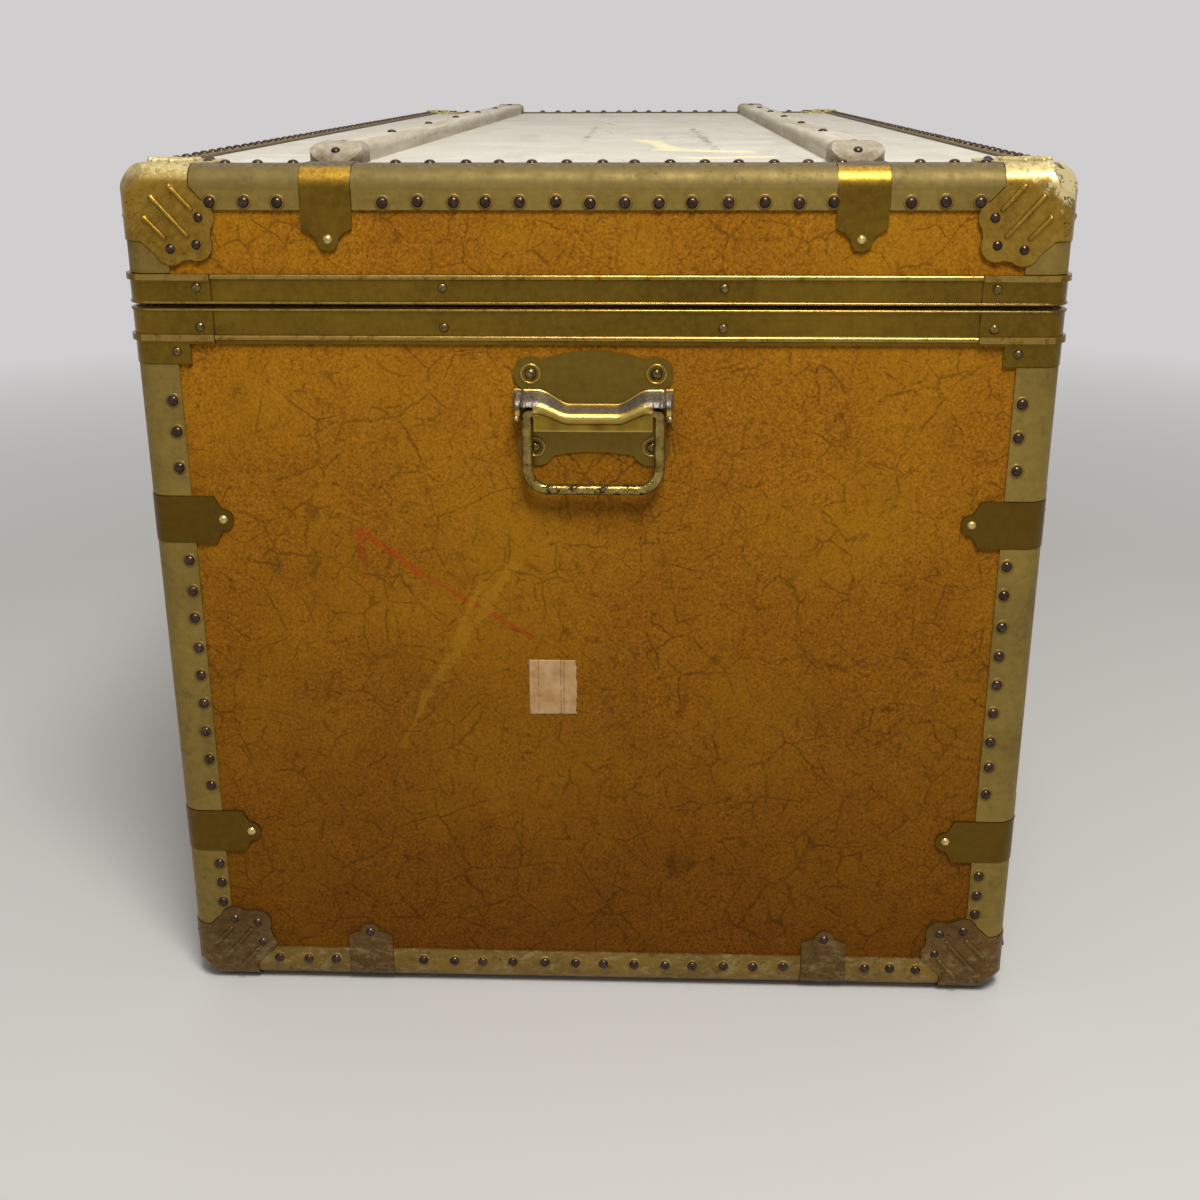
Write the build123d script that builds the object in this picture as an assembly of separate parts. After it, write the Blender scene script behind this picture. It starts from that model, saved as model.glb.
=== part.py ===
from build123d import *
import os

# A steamer trunk with a hinged lid, standing on its base with its long side along X.
# The lock side faces -Y, the hinges are on +Y, and the end with the label faces +X.
# Millimetres. The origin is the centre of the rectangle that the base stands on.

# Outer form, measured over the steel edging
length = 1210.0
width = 560.0
base_z = 1.6
top_z = 552.0
edge_r = 13.0
mid_z = (base_z + top_z) / 2

# Layers, from the outside in
strip_t = 1.5
cover_t = 1.0
board_t = 11.0
lining_t = 0.8
cover_in = strip_t
board_in = cover_in + cover_t
lining_in = board_in + board_t
room_in = lining_in + lining_t

# Closing line between body and lid
body_top = 469.5
lid_low = 472.0

# Steel edging
side_leg = 27.7
long_leg = 25.4
strip_gap = 0.4

# How far a cutting block reaches past what it cuts, and further
past = 5.0
far = 90.0

# Corner caps, pressed over each corner and rounder than the edging
cap_proud = 0.8
cap_foot = base_z
cap_side = 43.0
cap_slope = 12.0
cap_lobe_r = 9.5
cap_nails = ((47.7, 29.5), (45.2, 45.2), (29.5, 47.7))
cap_web = 7.9
ball_depth = 40.0
ball_r = 56.0
cap_t = cap_proud + strip_t
cap_play = 0.15
cap_room = 70.0
board_relief = 45.0
lobe_margin = 0.5
cap_chamfer = 30.0
grow_share = 0.4

# Nail heads
nail_r = 2.9
nail_h = 1.7
rivet_r = 3.7
rivet_h = 2.4

# Bands that frame the closing line
lid_band_z = (lid_low, 489.7)
lid_bead_z = 488.0
body_band_z = (448.2, body_top)
body_bead_z = 451.9
bead_r = 1.9
band_reach = 51.4
band_proud = 0.6
flap_z = 436.0
flap_reach = 36.0

# Hardwood slats and the clamps over their ends
slat_w = 29.5
slat_h = 11.0
slat_start = 31.0
slat_ramp = 26.0
slat_r = 4.5
slat_nose_r = 11.0
slat_y = 156.5
slat_z = (117.5, 337.5)
base_slat_start = 34.6
clamp_w = 30.0
clamp_proud = 0.5
clamp_leg = 34.0
hood_wall = 1.5
hood_end = 62.0
top_clamp = (35.6, 48.7)
side_clamp = (41.5, 53.0)
foot_clamp = (36.0, 45.4)
clamp_tip_r = 6.5
clamp_step = (5.0, 2.5)
clamp_flat = 1.5
hood_lap = 6.0
hood_nail_in = 38.0
nail_seat = 0.01
slat_toe = 1.2

# Bail handles on the two ends
handle_plate_t = 1.2
handle_top = 444.7
ear_y = 38.1
ear_z = 430.6
ear_r = 10.4
foot_y = 35.0
foot_z = 385.6
foot_r = 11.8
plate_neck = 44.0
plate_waist = 3.0
plate_arch = 6.0
plate_hem = 8.0
saddle_low = 395.2
saddle_crest = 421.0
saddle_half = 36.3
saddle_proud = 13.0
saddle_slope = 8.0
saddle_r = 3.5
roof_r = 2.0
roof_step = 2.0
roof_half = 42.6
roof_low = 413.2
knuckle_y = (44.2, 48.5)
knuckle_z = (403.0, 421.0)
knuckle_proud = 9.5
knuckle_r = 1.5
wire_r = 3.4
wire_bend = wire_r + 0.15
bail_arm_y = 40.3
bail_z = 408.8
bail_bar_z = 360.6
bail_bend = 13.0
bail_off = 7.2
bail_pin_end = 22.0
pin_play = 0.06
fit_gap = 0.2

# Hinges along the back
hinge_x = (-380.0, 0.0, 380.0)
hinge_y = width / 2 + 4.3
hinge_z = (body_top + lid_low) / 2
hinge_barrel_r = 3.6
hinge_pin_r = 1.6
hinge_w = 62.0
hinge_leaf_t = 2.4
hinge_leaf_h = 46.0
hinge_knuckle = 20.0
leaf_gap = 1.5
barrel_gap = 0.4

# Lock in the middle of the front, a spring catch on each side of it
latch_x = (0.0, -340.0, 340.0)
lock_half = 31.0
catch_half = 21.0
case_proud = 13.5
case_low = 406.0
catch_low = 424.0
case_top = 467.0
case_wall = 1.6
case_r = 3.0
channel_skin = 1.0
channel_half = 4.4
channel_low = 436.0
hasp_y = -(width / 2 + 9.6)
hasp_z = 483.0
hasp_barrel_r = 4.0
hasp_pin_r = 1.7
hasp_t = 2.0
hasp_gap = 0.8
hasp_neck = 6.0
hasp_corner_r = 6.0
hasp_lip_r = 1.6
hasp_low = 428.0
lock_hasp_half = 15.0
catch_hasp_half = 10.5
leaf_top = 516.0
leaf_t = 2.2
leaf_half = 19.0
leaf_r = 8.0
knuckle_half = 8.0
staple_half = 1.6
staple_z = (440.0, 460.0)
staple_reach = 9.5
eye_z = (444.4, 455.6)
eye_rim = (1.4, 1.5)
bolt_z = 450.0
bolt_size = (17.0, 4.4, 6.4)
bolt_play = 0.2
guide_wall = 1.4
plug_z = 419.5
plug_r = 6.0
plug_play = 0.05
plug_tip = 0.9
plug_length = 8.4
key_slot_size = (2.2, 8.0, 4.9)
bolt_clear = 1.4

# Lift-out tray and the runners that carry it
tray_x = 583.0
tray_y = 258.0
tray_low = 352.0
tray_top = 438.0
tray_wall = 7.0
tray_floor = 4.0
runner_h = 18.0
runner_d = 12.0
runner_in = 40.0
divider_drop = 12.0
tab_t = 2.2
tab_half = 16.0
tab_drop = 50.0
tab_rise = 14.0

# Dust lip round the mouth of the body
lip_low = 444.0
lip_top = 478.0
lip_t = 3.0
lip_step = 0.7
lining_clear = 2.0

# Cotton stay tapes that stop the lid
tape_x = 586.4
tape_t = 1.2
tape_w = 24.0
tape_r = 300.0
tape_fold_r = 176.0
tape_drop = 33.0
tape_bight = 3.0
tape_inner = 22.0

# Paper label on the end
label_y = (-42.6, -11.4)
label_z = (205.7, 244.4)
label_t = 0.25

half_l = length / 2
half_w = width / 2


def slab(x0, x1, y0, y1, z0, z1):
    """A box between two corners."""
    middle = Pos((x0 + x1) / 2, (y0 + y1) / 2, (z0 + z1) / 2)
    return middle * Box(abs(x1 - x0), abs(y1 - y0), abs(z1 - z0))


def block(inset, z_inset=None):
    """The trunk's outer form moved in by inset, with every edge rounded."""
    dz = inset if z_inset is None else z_inset
    form = slab(
        -half_l + inset, half_l - inset, -half_w + inset, half_w - inset, base_z + dz, top_z - dz
    )
    return fillet(form.edges(), edge_r - inset)


def four(shape):
    """The shape of one quarter, in all four quarters of the plan."""
    across = [shape, mirror(shape, about=Plane.XZ)]
    return across + [mirror(one, about=Plane.YZ) for one in across]


def flipped(shape):
    """The shape of the lid's side of the box, turned over to the base."""
    return mirror(shape, about=Plane.XY.offset(mid_z))


def dome(x, y, z, outward, r, h):
    """A round nail or rivet head: a slice of a ball that sits on the face it holds."""
    ball = (r * r + h * h) / (2 * h)
    face = Plane(origin=(x, y, z), z_dir=outward)
    head = Pos(0, 0, h - ball) * Sphere(ball)
    return face * (head & Pos(0, 0, ball) * Box(4 * ball, 4 * ball, 2 * ball))


def solids(shape):
    """The separate solids of a shape or of a list of shapes."""
    if isinstance(shape, (list, tuple)):
        return [one for item in shape for one in solids(item)]
    return list(shape.solids())


def corner_ball(grow):
    """The ball that rounds the top corner on +X and +Y."""
    centre = Pos(half_l + cap_proud - ball_depth, half_w + cap_proud - ball_depth,
                 top_z + cap_proud - ball_depth)
    return centre * Sphere(ball_r + grow)


outer = block(0)
under_strip = block(cover_in)
under_cover = block(board_in)
corner_cube = slab(half_l - board_relief, half_l + past, half_w - board_relief, half_w + past,
                   top_z - board_relief, top_z + past)
relief_one = corner_cube - corner_ball(-cap_t - cap_play)
relief = four(relief_one) + four(flipped(relief_one))


def cap_outline(grow=0.0):
    """One face of a cap: square at the corner, cut off slanting, with three lobes for its nails."""
    side = cap_side + grow
    reach = cap_side + cap_slope + lobe_margin
    slant = cap_slope - grow_share * grow
    lobe = cap_nails[0][1]
    points = [(-past, -past), (side, -past), (side, slant)]
    points += [(reach + grow, reach - cap_chamfer), (reach + grow, lobe), cap_nails[1]]
    points += [(lobe, reach + grow), (reach - cap_chamfer, reach + grow)]
    points += [(slant, side), (-past, side)]
    outline = make_face(Polyline(*points, close=True))
    for u, v in cap_nails:
        outline += Pos(u, v) * Circle(cap_lobe_r + grow)
    for start, end in zip(cap_nails, cap_nails[1:]):
        along = (Vector(*end) - Vector(*start)).normalized()
        out = Vector(-along.Y, along.X) * -(cap_web + grow)
        outline += make_face(Polyline(start, Vector(*start) + out, Vector(*end) + out, end, close=True))
    return outline


def cap_faces():
    """The three planes of the top corner on +X and +Y, each looking into the trunk."""
    corner = (half_l, half_w, top_z)
    return (
        Plane(origin=corner, x_dir=(0, 0, -1), z_dir=(-1, 0, 0)),
        Plane(origin=corner, x_dir=(-1, 0, 0), z_dir=(0, -1, 0)),
        Plane(origin=corner, x_dir=(0, -1, 0), z_dir=(0, 0, -1)),
    )


def cap_cutter(grow=0.0):
    """A block that follows the cap's outline on its three faces."""
    sketch = cap_outline(grow)
    cutter = None
    for face in cap_faces():
        wall = face * (Pos(0, 0, -past) * extrude(sketch, edge_r + past))
        cutter = wall if cutter is None else cutter + wall
    return cutter


def corner_cap(proud_z):
    """A pressed steel cap over the top corner on +X and +Y."""
    shell = block(-cap_proud, -proud_z) & corner_ball(proud_z - cap_proud)
    inner = under_strip & corner_ball(-cap_t)
    room = slab(half_l - cap_room, half_l + past, half_w - cap_room, half_w + past,
                top_z - cap_room, top_z + past)
    return (shell & room & cap_cutter()) - inner


def cap_nail_heads(proud_z):
    """Three nails on each face of a cap."""
    heads = []
    drop = (cap_proud, cap_proud, proud_z)
    for face, lift in zip(cap_faces(), drop):
        for u, v in cap_nails:
            place = face * Pos(u, v, -lift)
            point = place.position
            heads.append(dome(point.X, point.Y, point.Z, -face.z_dir, nail_r, nail_h))
    return heads


lid_cap = corner_cap(cap_proud)
base_cap = flipped(corner_cap(cap_foot))
cap_gap = cap_cutter(strip_gap)
cap_gaps = four(cap_gap) + four(flipped(cap_gap))


def clamp_profile(shoulder, tip):
    """The clamp's end on the trunk's end face: square shoulders and a round tongue."""
    half = clamp_w / 2
    neck = tip - clamp_tip_r
    tongue = clamp_tip_r - lobe_margin
    step_in, step_down = clamp_step
    points = [(-half, -past), (half, -past), (half, shoulder), (half - step_in, shoulder + step_down)]
    points += [(tongue, neck), (-tongue, neck)]
    points += [(step_in - half, shoulder + step_down), (-half, shoulder)]
    outline = make_face(Polyline(*points, close=True))
    return outline + Pos(0, neck) * Circle(clamp_tip_r)


def bent_plate(outside, inside, grow=0.0):
    """A plate bent round the edge at x = half_l, in the frame of a slat: z = 0 is the edging's face."""
    half = clamp_w / 2 + grow
    skin = slab(half_l - far, half_l + outside, -half, half, -far, outside)
    core = slab(half_l - far - past, half_l - inside, -half - past, half + past, -far - past, -inside)
    skin_edge = skin.edges().filter_by(Axis.Y).group_by(Axis.X)[-1].group_by(Axis.Z)[-1]
    core_edge = core.edges().filter_by(Axis.Y).group_by(Axis.X)[-1].group_by(Axis.Z)[-1]
    return fillet(skin_edge, edge_r + outside) - fillet(core_edge, edge_r - inside)


def slat_rise(grow):
    """The arc at a slat's end: where it meets the level crest, that crest's height, and its radius."""
    crest = half_l - slat_start + grow - slat_ramp
    top = slat_h + grow - strip_t
    climb = slat_h + grow - slat_toe
    return crest, top, (slat_ramp ** 2 + climb ** 2) / (2 * climb)


def slat_solid(grow=0.0):
    """A slat along X on z = -strip_t: a rounded section, ends that rise in an arc, and a rounded plan."""
    crest, top, arc_r = slat_rise(grow)
    end = crest + slat_ramp
    low = -strip_t
    toe = low + slat_toe
    half = slat_w / 2 + grow
    halfway = crest + slat_ramp / 2, top - arc_r + (arc_r ** 2 - slat_ramp ** 2 / 4) ** 0.5
    rise = ThreePointArc((end, toe), halfway, (crest, top))
    flat = Line((crest, top), (-crest, top))
    fall = ThreePointArc((-crest, top), (-halfway[0], halfway[1]), (-end, toe))
    foot = Polyline((-end, toe), (-end, low), (end, low), (end, toe))
    side = Pos(0, half, 0) * extrude(Plane.XZ * make_face(rise + flat + fall + foot), 2 * half)
    bar = slab(-end, end, -half, half, low, top)
    bar = fillet(bar.edges().filter_by(Axis.X).group_by(Axis.Z)[-1], slat_r + grow)
    plan = slab(-end, end, -half, half, low, top)
    plan = fillet(plan.edges().filter_by(Axis.Z), slat_nose_r + grow)
    return side & bar & plan


def slat_clamp(reach, hooded=True):
    """A clamp at the +X end of a slat."""
    shoulder, tip = reach
    wall = Plane(origin=(half_l, 0, 0), x_dir=(0, -1, 0), z_dir=(1, 0, 0))
    tongue = wall * (Pos(0, 0, -edge_r) * extrude(clamp_profile(shoulder, tip), edge_r + past))
    toe_x = half_l - slat_start
    leg_end = half_l - clamp_leg if not hooded else toe_x + clamp_flat
    leg = slab(leg_end, half_l - edge_r + clamp_flat, -clamp_w, clamp_w, -edge_r, past)
    clamp = bent_plate(clamp_proud, strip_t) & (tongue + leg)
    if hooded:
        reach_in = slab(half_l - hood_end, toe_x + hood_lap, -clamp_w, clamp_w, -strip_t, clamp_w)
        hood = (slat_solid(hood_wall) & reach_in) - slat_solid()
        foot = slab(toe_x + fit_gap, toe_x + hood_lap, -clamp_w / 2, clamp_w / 2, -strip_t, clamp_proud)
        clamp = clamp + hood + foot
    return clamp


slat = slat_solid()
on_top = [Pos(0, y, top_z) for y in (-slat_y, slat_y)]
on_front = [Pos(0, -half_w, z) * Rot(90, 0, 0) for z in slat_z]
on_back = [Pos(0, half_w, z) * Rot(-90, 0, 0) for z in slat_z]
on_sides = on_front + on_back
on_base = [Pos(0, y, base_z) * Rot(180, 0, 0) for y in (-slat_y, slat_y)]


def both_ends(shape):
    """The shape at the +X end and its mirror at the -X end."""
    return [shape, mirror(shape, about=Plane.YZ)]


def clamps_at(places, reach, hooded=True):
    """Clamps at both ends of the slats in these places."""
    pair = both_ends(slat_clamp(reach, hooded))
    return [place * one for place in places for one in pair]


def clamp_gaps(places, reach):
    """The room that the edging leaves for the clamps."""
    shoulder, _ = reach
    half = clamp_w / 2 + strip_gap
    room = slab(half_l - cap_room, half_l + past, -half, half, -shoulder - 1, past)
    return [place * one for place in places for one in both_ends(room)]


def clamp_nail_heads(places, reach, hooded=True):
    """One nail in each clamp's tongue, and one on its other leg."""
    _, tip = reach
    crest, top, arc_r = slat_rise(hood_wall)
    past_crest = half_l - hood_nail_in - crest
    level = (arc_r ** 2 - past_crest ** 2) ** 0.5
    lift = top - arc_r + level + nail_seat
    heads = []
    for place in places:
        for way in (-1, 1):
            end_x = way * (half_l + clamp_proud)
            tongue = place * dome(end_x, 0, clamp_tip_r - tip, (way, 0, 0), nail_r, nail_h)
            heads.append(tongue)
            if not hooded:
                continue
            outward = (way * past_crest / level, 0, 1)
            heads.append(place * dome(way * (half_l - hood_nail_in), 0, lift, outward, nail_r, nail_h))
    return heads


def edge_rooms():
    """The square rooms along the trunk's edges: long top, cross top, upright."""
    long_top = slab(-half_l + cap_side, half_l - cap_side, half_w - long_leg, half_w + past,
                    top_z - long_leg, top_z + past)
    cross_top = slab(half_l - long_leg, half_l + past, -half_w + cap_side, half_w - cap_side,
                     top_z - long_leg, top_z + past)
    upright = slab(half_l - side_leg, half_l + past, half_w - side_leg, half_w + past,
                   -past, top_z + past)
    tops = [long_top, mirror(long_top, about=Plane.XZ), cross_top, mirror(cross_top, about=Plane.YZ)]
    return tops, four(upright)


def cut(shape, tools):
    """The shape less every tool that comes near it."""
    box = shape.bounding_box()
    for tool in tools:
        other = tool.bounding_box()
        apart = any(
            low > high
            for low, high in (
                (other.min.X, box.max.X), (other.min.Y, box.max.Y), (other.min.Z, box.max.Z),
                (box.min.X, other.max.X), (box.min.Y, other.max.Y), (box.min.Z, other.max.Z),
            )
        )
        if not apart:
            shape = shape - tool
    return shape


skin = outer - under_strip
top_rooms, upright_rooms = edge_rooms()
all_gaps = (cap_gaps + clamp_gaps(on_top, top_clamp) + clamp_gaps(on_sides, side_clamp)
            + clamp_gaps(on_base, foot_clamp))
upper = slab(-length, length, -width, width, lid_band_z[1] + strip_gap, top_z + past)
lower = slab(-length, length, -width, width, -past, flap_z - strip_gap)

lid_top_edging = [cut(skin & room, all_gaps) for room in top_rooms]
base_edging = [cut(skin & flipped(room), all_gaps) for room in top_rooms]
lid_corner_edging = [cut(skin & room & upper, all_gaps) for room in upright_rooms]
body_corner_edging = [cut(skin & room & lower, all_gaps) for room in upright_rooms]

# Boards of the box: base and top run right across, the walls stand between them
wall_y = half_w - board_in - board_t
wall_x = half_l - board_in - board_t
floor_z = base_z + board_in + board_t
ceiling_z = top_z - board_in - board_t
boards = under_cover


def board(x0, x1, y0, y1, z0, z1):
    """A board: the part of the box's form in this room, its corners eased under the caps."""
    return cut(boards & slab(x0, x1, y0, y1, z0, z1), relief)


far_x = half_l + past
far_y = half_w + past
base_board = board(-far_x, far_x, -far_y, far_y, -past, floor_z)
lid_top_board = board(-far_x, far_x, -far_y, far_y, ceiling_z, top_z + past)
body_front_board = board(-far_x, far_x, -far_y, -wall_y, floor_z, body_top)
body_back_board = board(-far_x, far_x, wall_y, far_y, floor_z, body_top)
body_end_boards = [board(*xs, -wall_y, wall_y, floor_z, body_top)
                   for xs in ((-far_x, -wall_x), (wall_x, far_x))]
lid_front_board = board(-far_x, far_x, -far_y, -wall_y, lid_low, ceiling_z)
lid_back_board = board(-far_x, far_x, wall_y, far_y, lid_low, ceiling_z)
lid_end_boards = [board(*xs, -wall_y, wall_y, lid_low, ceiling_z)
                  for xs in ((-far_x, -wall_x), (wall_x, far_x))]

# Leatherette on the outside, paper on the inside
cover = under_strip - under_cover


def covering(z0, z1):
    """The leatherette between two heights."""
    return cut(cover & slab(-far_x, far_x, -far_y, far_y, z0, z1), relief)


room_x = half_l - room_in
room_y = half_w - room_in
body_room = slab(-room_x, room_x, -room_y, room_y, floor_z + lining_t, body_top + past)
body_lining = slab(-wall_x, wall_x, -wall_y, wall_y, floor_z, body_top) - body_room
lining_low = lip_top + lining_clear
lid_room = slab(-room_x, room_x, -room_y, room_y, lining_low - past, ceiling_z - lining_t)
lid_lining = slab(-wall_x, wall_x, -wall_y, wall_y, lining_low, ceiling_z) - lid_room


def lip_strip(reach, other):
    """A thin wooden strip with a stepped-back upper edge, along X, on the wall at y = reach."""
    low = slab(-other, other, reach - lip_t, reach, lip_low, body_top)
    high = slab(-other + lip_step, other - lip_step, reach - lip_t, reach - lip_step, body_top, lip_top)
    return low + high


lip_long = lip_strip(room_y, room_x)
lip_cross = Rot(0, 0, 90) * lip_strip(room_x, room_y - lip_t)
dust_lip = [lip_long, mirror(lip_long, about=Plane.XZ), lip_cross, mirror(lip_cross, about=Plane.YZ)]


def footprints():
    """Where hinges, lock and catches lie flat on the covering, so the bands stop short of them."""
    rooms = []
    near, out = half_w - past, half_w + 2 * past
    half = hinge_w / 2 + strip_gap
    for x in hinge_x:
        rooms.append(slab(x - half, x + half, near, out, hinge_z - hinge_leaf_h, hinge_z + hinge_leaf_h))
    for x, half in zip(latch_x, (lock_half, catch_half, catch_half)):
        half = half + strip_gap
        rooms.append(slab(x - half, x + half, -out, -near, case_low, (body_top + lid_low) / 2))
        half = leaf_half + strip_gap
        rooms.append(slab(x - half, x + half, -out, -near, (body_top + lid_low) / 2, leaf_top))
    return rooms


def band(low, high, bead_z, y_face, half):
    """A flat strip with a half-round bead, along X, on the wall at y = y_face."""
    base = y_face - strip_t
    strip = slab(-half, half, base, y_face, low, high)
    bead = Pos(0, y_face, bead_z) * Rot(0, 90, 0) * Cylinder(bead_r, 2 * half)
    return strip + (bead & slab(-half, half, base, y_face + past, low, high))


def band_set(low, high, bead_z):
    """The four straight bands of one side of the closing line."""
    long_band = band(low, high, bead_z, half_w, half_l - band_reach - strip_gap)
    cross_band = Rot(0, 0, -90) * band(low, high, bead_z, half_l, half_w - band_reach - strip_gap)
    straight = [long_band, mirror(long_band, about=Plane.XZ), cross_band,
                mirror(cross_band, about=Plane.YZ)]
    return [cut(one, footprints()) for one in straight]


def band_corner(low, high, bead_z, with_flap):
    """A strap bent round an upright edge, over the ends of two bands."""
    plate = block(-band_proud) - under_strip
    bead = block(-band_proud - bead_r) - under_strip
    reach = slab(half_l - band_reach, half_l + past, half_w - band_reach, half_w + past, low, high)
    bead_room = slab(0, length, 0, width, bead_z - bead_r, bead_z + bead_r)
    corner = (plate & reach) + (bead & reach & bead_room)
    if with_flap:
        flap = slab(half_l - flap_reach, half_l + past, half_w - flap_reach, half_w + past, flap_z, low)
        corner = corner + (plate & flap)
    return corner


lid_bands = band_set(*lid_band_z, lid_bead_z)
body_bands = band_set(*body_band_z, body_bead_z)
lid_band_corners = four(band_corner(*lid_band_z, lid_bead_z, False))
body_band_corners = four(band_corner(*body_band_z, body_bead_z, True))

base_slat = slab(base_slat_start - half_l, half_l - base_slat_start, -slat_w / 2, slat_w / 2,
                 -strip_t, base_z)

# Bail handle on the +X end, standing on the leatherette
skin_x = half_l - strip_t
plate_x = skin_x + handle_plate_t


def handle_sketch():
    """The back plate: a domed top between two round ears, and two feet under a hollowed edge."""
    arch_z = ear_z + plate_arch
    waist_z = ear_z - plate_waist
    hem_z = foot_z - plate_hem
    arch_top = ThreePointArc((-ear_y, arch_z), (0, handle_top), (ear_y, arch_z))
    right = Polyline((ear_y, arch_z), (plate_neck, waist_z), (plate_neck, foot_z), (foot_y, hem_z))
    hollow = ThreePointArc((foot_y, hem_z), (0, foot_z - plate_waist), (-foot_y, hem_z))
    left = Polyline((-foot_y, hem_z), (-plate_neck, foot_z), (-plate_neck, waist_z), (-ear_y, arch_z))
    outline = make_face(arch_top + right + hollow + left)
    for side in (-1, 1):
        outline += Pos(side * ear_y, ear_z) * Circle(ear_r)
        outline += Pos(side * foot_y, foot_z) * Circle(foot_r)
    return outline


end_plane = Plane(origin=(skin_x, 0, 0), x_dir=(0, 1, 0), z_dir=(1, 0, 0))
handle_plate = end_plane * extrude(handle_sketch(), handle_plate_t)
pivot_x = plate_x + bail_off


def saddle():
    """The pressed hood over the bail's pivots, with a roof over each arm and an outer ear."""
    crest_x = plate_x + saddle_proud
    slope_x = plate_x + saddle_slope
    side = Polyline(
        (plate_x, saddle_low), (slope_x, saddle_low), (crest_x, saddle_low + saddle_slope),
        (crest_x, saddle_crest - saddle_slope), (slope_x, saddle_crest), (plate_x, saddle_crest),
        close=True
    )
    hood = Pos(0, saddle_half, 0) * extrude(Plane.XZ * make_face(side), 2 * saddle_half)
    hood = fillet(hood.edges().filter_by(Axis.Y).group_by(Axis.X)[-1], saddle_r)
    roof = slab(plate_x, crest_x - roof_step, -roof_half, roof_half, roof_low, saddle_crest)
    hood = hood + fillet(roof.edges().group_by(Axis.X)[-1].filter_by(Axis.Y), roof_r)
    bore = Pos(pivot_x, 0, bail_z) * Rot(90, 0, 0) * Cylinder(wire_r + pin_play, 2 * saddle_half + 1)
    pin_reach = bail_pin_end - 1
    middle = slab(plate_x, crest_x, -pin_reach, pin_reach, saddle_low, saddle_crest)
    ears = []
    for way in (-1, 1):
        ear = slab(plate_x, plate_x + knuckle_proud, way * knuckle_y[0], way * knuckle_y[1], *knuckle_z)
        ears.append(fillet(ear.edges().group_by(Axis.X)[-1], knuckle_r))
    return [hood - (bore - middle)] + ears


def bail():
    """A round wire bent to a U, its two ends turned in to the pivots."""
    path = FilletPolyline(
        (0, bail_pin_end, 0), (0, bail_arm_y, 0), (0, bail_arm_y, bail_bar_z - bail_z),
        (0, -bail_arm_y, bail_bar_z - bail_z), (0, -bail_arm_y, 0), (0, -bail_pin_end, 0),
        radius=(wire_bend, bail_bend, bail_bend, wire_bend)
    )
    start = Plane(origin=path @ 0, z_dir=path % 0)
    return Pos(pivot_x, 0, bail_z) * sweep(start * Circle(wire_r), path=path)


def handle_rivets():
    """Four domed rivets through the back plate."""
    places = [(side * y, z) for side in (-1, 1) for y, z in ((ear_y, ear_z), (foot_y + 1, foot_z))]
    return [dome(plate_x, y, z, (1, 0, 0), rivet_r, rivet_h) for y, z in places]


right_saddle = saddle()
right_bail = bail()
right_rivets = handle_rivets()


def far_end(shape):
    """The same thing on the -X end."""
    if isinstance(shape, list):
        return [far_end(one) for one in shape]
    return mirror(shape, about=Plane.YZ)


def along_x(x0, x1, y, z, r):
    """A round bar along X."""
    return Pos((x0 + x1) / 2, y, z) * Rot(0, 90, 0) * Cylinder(r, abs(x1 - x0))


def hinge_leaf(x, up):
    """One leaf of a butt hinge: a plate on the back and the knuckles it is rolled into."""
    way = 1 if up else -1
    plate = slab(x - hinge_w / 2, x + hinge_w / 2, half_w - strip_t, half_w - strip_t + hinge_leaf_t,
                 hinge_z + way * leaf_gap, hinge_z + way * (hinge_leaf_h - 1))
    half = hinge_knuckle / 2
    spans = [(x - half + fit_gap, x + half - fit_gap)] if up else [
        (x - hinge_w / 2, x - half - fit_gap), (x + half + fit_gap, x + hinge_w / 2)]
    for x0, x1 in spans:
        web = slab(x0, x1, half_w - strip_t, hinge_y, hinge_z + way * barrel_gap,
                   hinge_z + way * hinge_barrel_r)
        plate = plate + along_x(x0, x1, hinge_y, hinge_z, hinge_barrel_r) + web
    gaps = [(x - hinge_w, x - half), (x + half, x + hinge_w)] if up else [(x - half, x + half)]
    for x0, x1 in gaps:
        plate = plate - along_x(x0, x1, hinge_y, hinge_z, hinge_barrel_r + barrel_gap)
    play = pin_play if up else 0.0
    return plate - along_x(x - hinge_w, x + hinge_w, hinge_y, hinge_z, hinge_pin_r + play)


hinge_body_leaves = [hinge_leaf(x, False) for x in hinge_x]
hinge_lid_leaves = [hinge_leaf(x, True) for x in hinge_x]
hinge_pins = [along_x(x - hinge_w / 2, x + hinge_w / 2, hinge_y, hinge_z, hinge_pin_r) for x in hinge_x]

face_y = -(half_w - strip_t)
case_y = face_y - case_proud
hasp_back = case_y - hasp_gap


def latch_case(x, half, low):
    """A pressed case with a channel that is open at the front and the top for the staple."""
    case = slab(x - half, x + half, face_y, case_y, low, case_top)
    case = fillet(case.edges().group_by(Axis.Y)[0], case_r)
    inside = slab(x - half + case_wall, x + half - case_wall, face_y - case_wall, case_y + case_wall,
                  low + case_wall, case_top - case_wall)
    channel = slab(x - channel_half, x + channel_half, face_y - case_wall, case_y - channel_skin,
                   channel_low, case_top + 1)
    return case - inside - channel


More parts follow.
